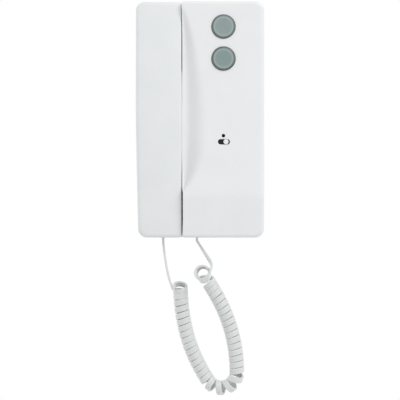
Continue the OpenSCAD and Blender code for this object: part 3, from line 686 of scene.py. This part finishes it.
# One skin of the cover: in each row the cradle, the ledge beside the slit and the tower follow on each other
def coverSkin(rows, inset, inward):
    z = rows[:, None]
    upDown = fromEnds(z, bottom, top, inset)
    ends = np.minimum(*upDown.values())
    corner = cover["corner"] - inset
    leftEdge = coverLow.x + inset + drawnIn(ends, corner)
    towerCorner = max(cover["towerCorner"] - inset, cover["leastCorner"])
    step = towerLeft + slitWiden(z) + inset + drawnIn(ends, towerCorner)
    rightEdge = coverHigh.x - inset - drawnIn(ends, corner)
    ledgeX = step - cover["ledge"]
    cradleShare = edgeSpaced(cover["cradleWidth"], cover["cradleEdge"], cover["cradleInner"], 6, 12)
    towerWidth = coverHigh.x - towerLeft
    lip = cover["lip"] * (1 - np.cos(quarterTurn(7)))
    flankStep = cover["flankStep"]
    flank = np.arange(cover["lip"] + flankStep, cover["scoopWidth"] + cover["flankPast"], flankStep)
    face = np.linspace(flank[-1], towerWidth - cover["roll"], 14)[1:]
    roll = towerWidth - cover["roll"] * (1 - np.sin(quarterTurn(12)))[1:]
    towerShare = np.concatenate([lip, flank, face, roll]) / towerWidth
    cradleX = leftEdge + (ledgeX - leftEdge) * cradleShare
    shelfX = ledgeX + cover["ledge"] * np.linspace(0, 1, 4)
    towerX = step + (rightEdge - step) * towerShare
    cradleY = cradleFront(z, inset) + inward + drawnIn(np.maximum(cradleX - leftEdge, 0), cover["cradleEdge"])
    shelfY = (cradleFront(z, inset) if inset else cradleFloor(z, handset["split"], 0)) + inward
    inside = insideBy({"right": coverHigh.x - inset - towerX, **upDown}, {"right": corner})
    lipRadius = np.maximum(cover["lip"] * (1 - scoopReach(z)[0]), 0.001 * mm)
    towerY = towerFront(towerX, z) + inward + drawnIn(inside, cover["roll"])
    towerY = towerY + drawnIn(towerX - step, lipRadius)
    strips = [(cradleX, cradleY), (shelfX, shelfY), (towerX, towerY)]
    return np.concatenate([stacked(x, y, z) for x, y in strips], axis=1)


outerRows = coverRows()
innerRows = drawnTogether(outerRows, cover["wall"])
frontCover = shellPiece(
    "frontCover", coverSkin(outerRows, 0, 0), coverSkin(innerRows, cover["wall"], cover["wall"]),
    lambda z: coverHigh.y)
print("front cover:", len(frontCover.data.polygons), "faces")

# Holes of the cover: buttons, lamp, slot, hook plunger, plug and the screw in the bottom edge
controls = lengths(
    buttonRadius=10.3, buttonGap=0.35, buttonLip=0.3, lampLip=0.2, lensOver=0.2, lensGap=0.05, lensDome=0.35,
    knobOver=0.3, knobEdge=0.7, slotLength=10.6, slotHeight=4.7, slotLip=0.35, slotX=21.2, deep=8)
hook = lengths(post=4, dome=1.2, crown=0.35, flangeIn=24, flangeT=1.6, gap=0.35, lip=0.4, deep=6)
deepY = frontY + controls["deep"]
buttonPlaces = {node: middleOf(node) for node in ("upper_button", "lower_button")}
lampMiddle, lampHalf = middleOf("light_pipe")
knobMiddle, knobHalf = middleOf("slider_knob")
hookMiddle, hookHalf = middleOf("hook_plunger")
holeR = controls["buttonRadius"] + controls["buttonGap"]
coverHoles = [roundDrill(middle.x, middle.z, frontY, deepY, holeR, controls["buttonLip"], 96)
              for middle, half in buttonPlaces.values()]
lensR = lampHalf.x + controls["lensOver"]
coverHoles.append(roundDrill(
    lampMiddle.x, lampMiddle.z, frontY, deepY, lensR + controls["lensGap"], controls["lampLip"], 48))
slotHalf, slotR = controls["slotLength"] / 2, controls["slotHeight"] / 2
stations = lipStations(
    frontY, deepY, lambda lip: slotRing(slotHalf + lip, slotR + lip, slotR + lip), controls["slotLip"])
coverHoles.append(alongY(controls["slotX"], knobMiddle.z, stations))
saddleY = float(cradleFront(np.array(hookMiddle.z), 0))
coverHoles.append(roundDrill(
    handsetX, hookMiddle.z, saddleY, saddleY + hook["deep"], hook["post"] + hook["gap"], hook["lip"], 48))
coverHoles.append(plugCut("base_plug", bottom))
coverScrew, coverScrewHalf = middleOf("cover_screw")
stations = lipStations(
    bottom, bottom + screwWell["edgeDeep"], lambda lip: roundRing(wellR + lip, 40), screwWell["lip"])
coverHoles.append(alongZ(coverScrew.x, coverScrew.y, stations))
cutPiece(frontCover, coverHoles)
dress(frontCover, "base", "front_cover", shellFinish)
print("front cover cut:", len(frontCover.data.polygons), "faces")


# Turned forms: a profile of radius and depth carried round an axis, which for most pieces runs along Y
def turned(profile, count):
    radius, depth = np.asarray(profile, float).T
    angle = wholeTurn(count)[:, None]
    index = gridIndex(count, len(radius))
    quads = gridQuads(np.concatenate([index, index[:1]]))
    return radius * np.cos(angle), radius * np.sin(angle), depth, quads


def turnedPiece(name, centreX, centreZ, profile, count=96):
    u, v, y, quads = turned(profile, count)
    return addPiece(name, stacked(centreX + u, y, centreZ + v), quads)


def arcProfile(centreR, centreY, radius, startAngle, endAngle, steps=8):
    angle = np.radians(np.linspace(startAngle, endAngle, steps))
    return list(zip(centreR + radius * np.cos(angle), centreY + radius * np.sin(angle)))


# Button: a stem, a flange under the cover, and a cap with a sloped rim and a faintly dished face
button = {
    **lengths(rim=1.9, rise=0.95, soft=0.45, dish=0.12, stem=3, flangeY=-47.25, flangeT=2.4,
              # rings: radii that bound the painted highlight ring and where the painted shade edge begins
              rings=(7.0, 7.8, 8.6, 9.4)),
    "rimPower": 2.6,
}
# Each button's colours: two face tones, a paler ring that is a painted highlight, and a darker edge that is
# painted shade
buttonShades = {
    "upper_button": {"face": (0.262, 0.329, 0.327), "dim": (0.25, 0.316, 0.314),
                     "worn": (0.33, 0.385, 0.388), "edge": (0.15, 0.19, 0.185)},
    "lower_button": {"face": (0.226, 0.303, 0.296), "dim": (0.215, 0.29, 0.283),
                     "worn": (0.31, 0.37, 0.37), "edge": (0.13, 0.165, 0.16)},
}
for node, (middle, half) in buttonPlaces.items():
    faceY, stemY = middle.y - half.y, middle.y + half.y
    flangeY, flangeBack = button["flangeY"], button["flangeY"] + button["flangeT"]
    capR = controls["buttonRadius"]
    flatR = capR - button["rim"]
    share = np.linspace(0, 1, 9)
    dished = [(flatR * s, faceY + button["dish"] * (1 - s * s)) for s in share[:-1]]
    slope = [(flatR + button["rim"] * s, faceY + button["rise"] * s ** button["rimPower"]) for s in share]
    softY = faceY + button["rise"] + button["soft"]
    softened = arcProfile(capR - button["soft"], softY, button["soft"], -60, 0, 5)
    skirt = [
        (capR, flangeY), (half.x, flangeY), (half.x, flangeBack), (button["stem"], flangeBack),
        (button["stem"], stemY), (0, stemY)]
    cap = turnedPiece(node + "Cap", middle.x, middle.z, dished + slope[:-1] + softened + skirt)
    capFinish = buttonFinish(node + "Grey", buttonShades[node], middle, button["rings"])
    dress(cap, node, node, capFinish)

# Lamp lens and the switch's knob
lens = turnedPiece("lampLens", lampMiddle.x, lampMiddle.z, [
    (lensR * s, lampMiddle.y - lampHalf.y + controls["lensDome"] * s * s) for s in np.linspace(0, 1, 8)] + [
    (lensR, lampMiddle.y + lampHalf.y), (0, lampMiddle.y + lampHalf.y)], 48)
dress(lens, "base", "light_pipe", lensBlack)
knobFace = knobMiddle.y - knobHalf.y
knobR = knobHalf.x + controls["knobOver"]
knobEdge = controls["knobEdge"]
knob = turnedPiece("slideKnob", knobMiddle.x, knobMiddle.z, [(0, knobFace)] + arcProfile(
    knobR - knobEdge, knobFace + knobEdge, knobEdge, -90, 0) + [
    (knobR, knobMiddle.y + knobHalf.y), (0, knobMiddle.y + knobHalf.y)], 64)
dress(knob, "slider", "slider_knob", shellFinish)

# Hook plunger: a round post with a flange below the cradle, and a soft dome that the grip presses
hookTop, hookFoot = hookMiddle.y - hookHalf.y, hookMiddle.y + hookHalf.y
flangeBack = -hook["flangeIn"]
flangeFront = flangeBack - hook["flangeT"]
domeR = hook["post"] - hook["dome"]
plunger = turnedPiece("hookPost", hookMiddle.x, hookMiddle.z, [
    (domeR * s, hookTop + hook["crown"] * s * s) for s in np.linspace(0, 1, 7)[:-1]] + arcProfile(
    domeR, hookTop + hook["crown"] + hook["dome"], hook["dome"], -90, 0) + [
    (hook["post"], flangeFront), (hookHalf.x, flangeFront), (hookHalf.x, flangeBack),
    (hook["post"], flangeBack), (hook["post"], hookFoot), (0, hookFoot)], 64)
dress(plunger, "hook", "hook_plunger", shellFinish)
print("controls turned")

# Screw: a domed head with a cross recess, a shank whose radius saws up and down as a thread, and a point
screw = lengths(
    headT=1.3, dome=0.8, shank=1.25, core=0.98, pitch=0.55, runIn=0.1, point=1, sink=0.1, gripLength=9.4,
    mouth=(1.6, 0.38), floor=(0.6, 0.28), above=-0.4, deep=0.9)


def screwProfile(length):
    cap = np.linspace(0, 1, 10)
    head = np.stack([screwWell["head"] * np.sin(cap * math.pi / 2), screw["dome"] * cap ** 3], axis=-1)
    under = [(screwWell["head"], screw["headT"]), (screw["shank"], screw["headT"])]
    along = np.arange(screw["headT"] + screw["runIn"], length - screw["point"], screw["pitch"] / 2)
    saw = np.where(np.arange(len(along)) % 2, screw["core"], screw["shank"])
    return np.concatenate([head, under, np.stack([saw, along], axis=-1), [(0, length)]])


# Cross outline: twelve corners, whose heights are their widths three places on
def crossRing(reach, half):
    u = np.array([reach, half, half, -half, -half, -reach, -reach, -half, -half, half, half, reach])
    return u, np.roll(u, 3)


# Each seat turns the screw's own across and along into the frame
def screwGroup(name, node, body, length, seats):
    u, v, t, quads = turned(screwProfile(length), 48)
    points = np.concatenate([seat(u, v, t).reshape(-1, 3) for seat in seats])
    faces = np.concatenate([quads + k * u.size for k in range(len(seats))])
    piece = addPiece(name, points, faces)
    recess = [(screw["above"], crossRing(*screw["mouth"])), (screw["deep"], crossRing(*screw["floor"]))]
    cutPiece(piece, [np.stack([seat(a, b, depth) for depth, (a, b) in recess]) for seat in seats])
    dress(piece, body, node, screwSteel)


def gripSeat(z):
    headY = frontY + float(bowFall(z)) + handset["grip"] - screw["sink"]
    return lambda u, v, t: stacked(handsetX + u, headY - t, z + v)


screwGroup("gripScrews", "handset_screws", "handset", screw["gripLength"], [gripSeat(z) for z in gripScrews])
screwGroup("edgeScrew", "cover_screw", "base", 2 * coverScrewHalf.z, [
    lambda u, v, t: stacked(coverScrew.x + u, coverScrew.y + v, bottom + t)])
print("screws cut")

# Cord plugs: a clear block with round edges, a recess for the flat cord, and a slit beside the latch
plug = lengths(
    round=0.7, edge=0.3, cordGap=0.15, recess=4, recessRound=0.9, recessLip=0.2,
    latch=2.4, slit=0.35, slitIn=0.9, slitDeep=6, slitRound=0.15, slitLip=0.1)
cordSize = lengths(width=5.1, thick=2.2)


def plugPiece(name, node, body):
    middle, half = middleOf(node)
    low, high = middle.z - half.z, middle.z + half.z
    turn = quarterTurn(5)
    inset = plug["edge"] * (1 - np.sin(turn))
    rise = plug["edge"] * (1 - np.cos(turn))
    levels = np.concatenate([low + rise, high - rise[::-1]])
    insets = np.concatenate([inset, inset[::-1]])
    rings = alongZ(middle.x, middle.y, [
        (z, slotRing(half.x - i, half.y - i, plug["round"], 6)) for z, i in zip(levels, insets)])
    piece = addPiece(name, *loftParts(rings))
    u0, v0 = cordSize["thick"] / 2 + plug["cordGap"], cordSize["width"] / 2 + plug["cordGap"]
    mouth = alongZ(middle.x, middle.y, lipStations(
        low, low + plug["recess"],
        lambda lip: slotRing(u0 + lip, v0 + lip, plug["recessRound"], 6), plug["recessLip"]))
    slitHalf = plug["slit"] / 2
    latch = alongZ(middle.x - half.x + plug["slitIn"], middle.y, lipStations(
        low, low + plug["slitDeep"],
        lambda lip: slotRing(slitHalf + lip, plug["latch"] + lip, plug["slitRound"], 4), plug["slitLip"]))
    cutPiece(piece, [mouth, latch])
    dress(piece, body, node, plugFinish)
    return piece


cordPlugs = [plugPiece("handsetPlug", "handset_plug", "handset"), plugPiece("basePlug", "base_plug", "base")]
print("plugs cut")

# Rear housing: a tray on the wall, with shallow dishes round its screw holes and its cable hole
housing = lengths(
    wall=2.4, edge=1, corner=7, rimY=-16, rowStep=6, width=110, screwHole=2.3, screwPitch=120, cableHole=7,
    lip=0.5, deep=6, dish=0.6, dishR=6.5, dishLip=0.3, cableDish=(17, 12, 4))


# Rows and columns of the tray's outline, and the distance in from it
def housingField(inset):
    rows = heightRows(housingLow.z, housingHigh.z, housing["corner"], 14, housing["rowStep"])
    share = edgeSpaced(housing["width"], housing["edge"], housing["edge"], 7, 20)
    z = drawnTogether(rows, inset)[:, None]
    corner = housing["corner"] - inset
    upDown = fromEnds(z, housingLow.z, housingHigh.z, inset)
    ends = np.minimum(*upDown.values())
    x0 = housingLow.x + inset + drawnIn(ends, corner)
    x1 = housingHigh.x - inset - drawnIn(ends, corner)
    x = x0 + (x1 - x0) * share
    sides = {"left": x - housingLow.x - inset, "right": housingHigh.x - inset - x, **upDown}
    return x, z, insideBy(sides, {"left": corner, "right": corner})


x, z, inside = housingField(0)
outerSkin = stacked(x, housingHigh.y - drawnIn(inside, housing["edge"]), z)
x, z, inside = housingField(housing["wall"])
innerSkin = stacked(x, housingHigh.y - housing["wall"], z)
wallTray = shellPiece("wallTray", outerSkin, innerSkin, lambda z: housing["rimY"])
cable = next(m for m in frame["record"]["mounts"] if m["name"] == "cable_entry")["pos_m"]
backY = housingHigh.y
dishY = backY - housing["dish"]
screwPlaces = [(0, side * housing["screwPitch"] / 2) for side in (1, -1)]
cablePlace = (cable[0], cable[2])
bores = [*((place, housing["screwHole"]) for place in screwPlaces), (cablePlace, housing["cableHole"])]
trayHoles = [roundDrill(*place, backY, backY - housing["deep"], radius, housing["lip"], 64)
             for place, radius in bores]
trayHoles += [roundDrill(*place, backY, dishY, housing["dishR"], housing["dishLip"], 64)
              for place in screwPlaces]
trayHoles.append(alongY(*cablePlace, lipStations(
    backY, dishY, lambda lip: slotRing(*(size + lip for size in housing["cableDish"])), housing["dishLip"])))
for hole in trayHoles:
    cutPiece(wallTray, [hole])  # one by one, because dishes and holes overlap
dress(wallTray, "base", "rear_housing", shellFinish)
print("wall tray:", len(wallTray.data.polygons), "faces")

# Curly cord: stretches of a right-handed coil, each with its length, turn, tilt and curls, and two tails
cord = {
    **cordSize,
    **lengths(curl=5.7, swell=0.9, lead=3, groove=0.25, grooveWidth=0.45,
              bendFrom=(-12, -27, -121), bendTo=(-33.2, -27, -110.4)),
    "start": (-17.9, -30, -148.5), "heading": 3, "tilt": -30,
    "stretches": [(11, 1, 30, 2), (26, 8, 0, 4.5), (54.5, 22, 0, 10), (36, 146, 0, 4), (75.5, 31, 0, 13.5),
                  (10, 0, 0, 2), (13.5, 0, 76, 1), (10.1, 0, 0, 1.875)],
    "widths": (5.3, 5.3, 5.25, 5.3, 5.3, 4.9, 5.3, 5.2), "widthCurls": 0.5, "swellCurls": 1.5,
    "firstAngle": 180, "rings": 40, "sides": 24, "crease": 60, "fullness": 0.8, "flatShare": 1.6,
    "tailSteps": 6, "tailTurn": -1.2, "handsetEase": (-10, 22), "baseEase": (4, 16), "easePasses": 60,
}
handsetTail = [
    (-33.2, -27, -105.3), (-33.2, -27, -108), (-32.9, -27.3, -112.5), (-32, -28.4, -119.5),
    (-30.9, -30.2, -126.5), (-29.7, -32.2, -133), (-28.2, -34.4, -139.5), (-26.6, -36.2, -145),
    (-25.2, -37, -148.6), (-24.2, -35.8, -150.4)]
baseTail = [
    (-2.7, -27, -105.3), (-2.7, -27, -108), (-1.2, -27, -110.6), (1.6, -28, -115), (4.6, -30.2, -119.6),
    (7.3, -33.4, -123.6), (9.5, -37.4, -127), (10.6, -41.4, -129.6), (10.3, -44.4, -131.8)]


def unit(v):
    return v / np.linalg.norm(v, axis=-1, keepdims=True)


# The coil's axis turns and tilts evenly over each stretch, the cord winds round it at a steady pace, and the
# last curls widen
def coilPath():
    steps = np.concatenate([
        np.tile(np.array(s[:3]) / (s[3] * cord["rings"]), (round(s[3] * cord["rings"]), 1))
        for s in cord["stretches"]])
    turns = np.concatenate([[[0, 0]], np.cumsum(steps[:, 1:], axis=0)]) + [cord["heading"], cord["tilt"]]

    def along(turn):
        a, t = np.radians(turn).T
        return np.stack([np.sin(a) * np.cos(t), -np.sin(t), -np.cos(a) * np.cos(t)], axis=-1)
    moves = steps[:, :1] * along((turns[:-1] + turns[1:]) / 2)
    axis = (np.array(cord["start"]) + np.concatenate([[[0, 0, 0]], np.cumsum(moves, axis=0)])) * mm
    heading = np.radians(turns[:, 0])
    side = np.stack([np.cos(heading), 0 * heading, np.sin(heading)], axis=-1)
    ahead = along(turns)
    angle = np.radians(cord["firstAngle"] + 360 * np.arange(len(axis)) / cord["rings"])[:, None]
    out = np.cos(angle) * side + np.sin(angle) * np.cross(ahead, side)
    left = np.arange(len(axis))[::-1, None] / (cord["swellCurls"] * cord["rings"])
    return axis + (cord["curl"] + cord["swell"] * np.clip(1 - left, 0, 1)) * out, out


# A smooth line through a tail's points and on to the coil: a Catmull-Rom curve between each pair
def smoothTail(tail, lead, joint, after):
    points = np.array([*np.array(tail) * mm, lead, joint])
    p = np.concatenate([[2 * points[0] - points[1]], points, [after]])
    t = np.linspace(0, 1, cord["tailSteps"], endpoint=False)[None, :, None]
    a, b, c, d = (p[k:len(p) - 3 + k][:, None, :] for k in range(4))
    square, cube = 2 * a - 5 * b + 4 * c - d, 3 * b - a - 3 * c + d
    return (0.5 * (2 * b + (c - a) * t + square * t ** 2 + cube * t ** 3)).reshape(-1, 3)


coilPoints, coilOut = coilPath()
leadA = coilPoints[0] - cord["lead"] * unit(coilPoints[1] - coilPoints[0])
leadB = coilPoints[-1] + cord["lead"] * unit(coilPoints[-1] - coilPoints[-2])
tailA = smoothTail(handsetTail, leadA, coilPoints[0], coilPoints[3])
tailB = smoothTail(baseTail, leadB, coilPoints[-1], coilPoints[-4])[::-1]


# Tails and coil in one line, evened out by repeated averaging near the two joins, each over its own reach
def eased(line, joins, passes):
    place = np.arange(len(line))
    near = np.maximum.reduce([1 - np.abs(place - join) / reach for join, reach in joins])
    share = 0.5 * ease(np.clip(near, 0, 1))[1:-1, None]
    for _ in range(passes):
        line[1:-1] += share * ((line[:-2] + line[2:]) / 2 - line[1:-1])
    return line


coilEnds = (len(tailA), len(tailA) + len(coilPoints))
eases = (cord["handsetEase"], cord["baseEase"])
joins = [(end + shift, reach) for end, (shift, reach) in zip(coilEnds, eases)]
path = eased(np.concatenate([tailA, coilPoints, tailB]), joins, cord["easePasses"])


# Thickness direction: sideways along the tails, and it turns to the coil's outward direction at the joins
def tailOuts(count, last):
    flat = np.array([math.copysign(1, last[0]), 0, 0])
    share = ease(np.clip(np.linspace(cord["tailTurn"], 1, count), 0, 1))[:, None]
    return unit((1 - share) * flat + share * last)


outs = np.concatenate([tailOuts(len(tailA), coilOut[0]), coilOut, tailOuts(len(tailB), coilOut[-1])[::-1]])


# Width along the cord: a little narrower where the curls lie closest, averaged over half a curl each way
def cordWidths():
    coil = np.repeat(cord["widths"], [round(s[3] * cord["rings"]) for s in cord["stretches"]]) * mm
    whole = np.concatenate([np.full(len(tailA), cord["width"]), coil, np.full(len(tailB) + 1, cord["width"])])
    reach = round(cord["widthCurls"] * cord["rings"])
    padded = np.concatenate([np.full(reach, whole[0]), whole, np.full(reach, whole[-1])])
    return np.convolve(padded, np.ones(2 * reach + 1) / (2 * reach + 1), "valid")


# Flat section: two half circles joined by flats, with a shallow groove along the middle of each flat
def flatSection(count, width):
    a = wholeTurn(count)
    half, flat = cord["thick"] / 2, (width[:, None] - cord["thick"]) / 2
    thick = half * np.sign(np.cos(a)) * np.abs(np.cos(a)) ** cord["fullness"]
    wide = half * np.sin(a) + flat * np.clip(np.sin(a) * cord["flatShare"], -1, 1)
    groove = 1 - cord["groove"] / half * np.exp(-(wide / cord["grooveWidth"]) ** 2)
    return (thick * groove)[:, :, None], wide[:, :, None]


ways = unit(np.gradient(path, axis=0))
across = unit(outs - (outs * ways).sum(-1, keepdims=True) * ways)
over = np.cross(ways, across)
thick, wide = flatSection(cord["sides"], cordWidths())
rings = path[:, None, :] + thick * across[:, None, :] + wide * over[:, None, :]
curlyCord = addPiece("curlyCord", *loftParts(rings), cord["crease"])
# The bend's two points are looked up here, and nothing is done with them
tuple(cord["bendFrom"])
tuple(cord["bendTo"])
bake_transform(curlyCord)
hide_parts("cord_base_tail", "cord_coil", "cord_handset_tail")


# Vinyl: soft mottling, drawn streaks in the gloss, and a soft sheen at its edges
def vinylFinish(name, color, shade):
    wire, where, finish = newFinish(name)
    mottle = wire.noise(where, 130, 3)
    streaks = wire.noise(where, 700, 3)
    return finish({
        "Base Color": mottle.between(0.3, 0.7).mixed((*color, 1), (*shade, 1)),
        "Roughness": 0.34 + 0.14 * streaks.between(0.3, 0.7),
        "Normal": wire.bump(streaks, 0.01 * mm, 1.0, wire.bump(mottle, 0.03 * mm)),
        "Sheen Weight": 1.0,
        "Sheen Roughness": 0.55,
        "IOR": 1.5,
    })


curlyCord.data.materials.append(vinylFinish("cordVinyl", (0.7, 0.717, 0.717), (0.665, 0.682, 0.682)))

# The CAD pieces inside the shells keep their shapes and get their finishes
insideFinishes = {
    blackFinish: ("upper_switch", "lower_switch", "upper_plunger", "lower_plunger", "slide_switch", "ringer",
                  "hook_switch", "base_socket", "handset_socket", "receiver"),
    rubberFinish: ("receiver_gasket", "microphone_boot"),
    screwSteel: ("board_screws", "terminal_screws"),
    plainSteel: ("microphone", "handset_weight"),
    plugFinish: ("status_lamp",),
    resistFinish: ("main_board",),
    greyFinish: ("terminal_block",),
}
for finish, nodes in insideFinishes.items():
    for node in nodes:
        frame["nodes"][node].data.materials.clear()
        frame["nodes"][node].data.materials.append(finish)

# Stage: a pale floor far below, and a white surround for the camera
stage = {"floorZ": -0.62, "floorSize": 1.6, "fill": 0.73, "white": 1.0, "aim": (0, 0, -0.05)}
floorWire, floorWhere, floorFinish = newFinish("floorPale")
paper = floorWire.noise(floorWhere, 9, 4)
grit = floorWire.noise(floorWhere, 420, 3)
half = stage["floorSize"]
floorCorners = ((-half, -half), (half, -half), (half, half), (-half, half))
floor = addPiece("floor", [(*corner, stage["floorZ"]) for corner in floorCorners], [[0, 1, 2, 3]])
floor.data.materials.append(floorFinish({
    "Base Color": paper.between(0.3, 0.7).mixed((0.86, 0.86, 0.86, 1), (0.83, 0.83, 0.83, 1)),
    "Roughness": 0.72 + 0.16 * grit,
    "Normal": floorWire.bump(grit, 0.05 * mm),
}))

world = bpy.data.worlds.new("studio")
bpy.context.scene.world = world
world.use_nodes = True
worldWire = Wire(world.node_tree)
rays = ("Camera", "Glossy", "Transmission")
seen = [worldWire.node("ShaderNodeLightPath", {}, {}, f"Is {ray} Ray") for ray in rays]
direct = worldWire.calc("MAXIMUM", seen[0], worldWire.calc("MAXIMUM", seen[1], seen[2]))
light, white = (
    worldWire.node("ShaderNodeBackground", {}, {"Color": (1, 1, 1, 1), "Strength": stage[part]})
    for part in ("fill", "white"))
surround = worldWire.node("ShaderNodeMixShader", {}, {0: direct, 1: light, 2: white})
worldWire.feed(world.node_tree.nodes["World Output"].inputs["Surface"], surround)

# Square soft lamps, each with its place, width and power, aimed at one point
lamps = {
    "keyLight": {"place": (1.6, -2.0, 2.2), "size": 1.6, "power": 41},
    "edgeLight": {"place": (-2.0, 0.6, 0.2), "size": 1.2, "power": 6},
}
for name, setting in lamps.items():
    data = bpy.data.lights.new(name, "AREA")
    data.shape = "RECTANGLE"
    data.size = data.size_y = setting["size"]
    data.energy = setting["power"]
    lamp = placed(name, data)
    lamp.location = setting["place"]
    way = np.array(stage["aim"]) - np.array(setting["place"])
    lamp.rotation_euler = Vector(way).to_track_quat("-Z", "Y").to_euler()

# Camera: square on to the front, far enough back that the frame is 353.8 mm wide at the front face
view = {"away": 1.1, "frame": 0.3538, "sensor": 36, "x": 0.05 * mm, "z": -71.4 * mm, "near": 0.05}
camera = bpy.data.cameras.new("camera")
camera.sensor_width = view["sensor"]
camera.lens = view["sensor"] * view["away"] / view["frame"]
camera.clip_start = view["near"]
shot = placed("camera", camera)
shot.location = (view["x"], frontY - view["away"], view["z"])
shot.rotation_euler = (math.pi / 2, 0, 0)
bpy.context.scene.camera = shot
bpy.context.scene.view_settings.view_transform = "Standard"
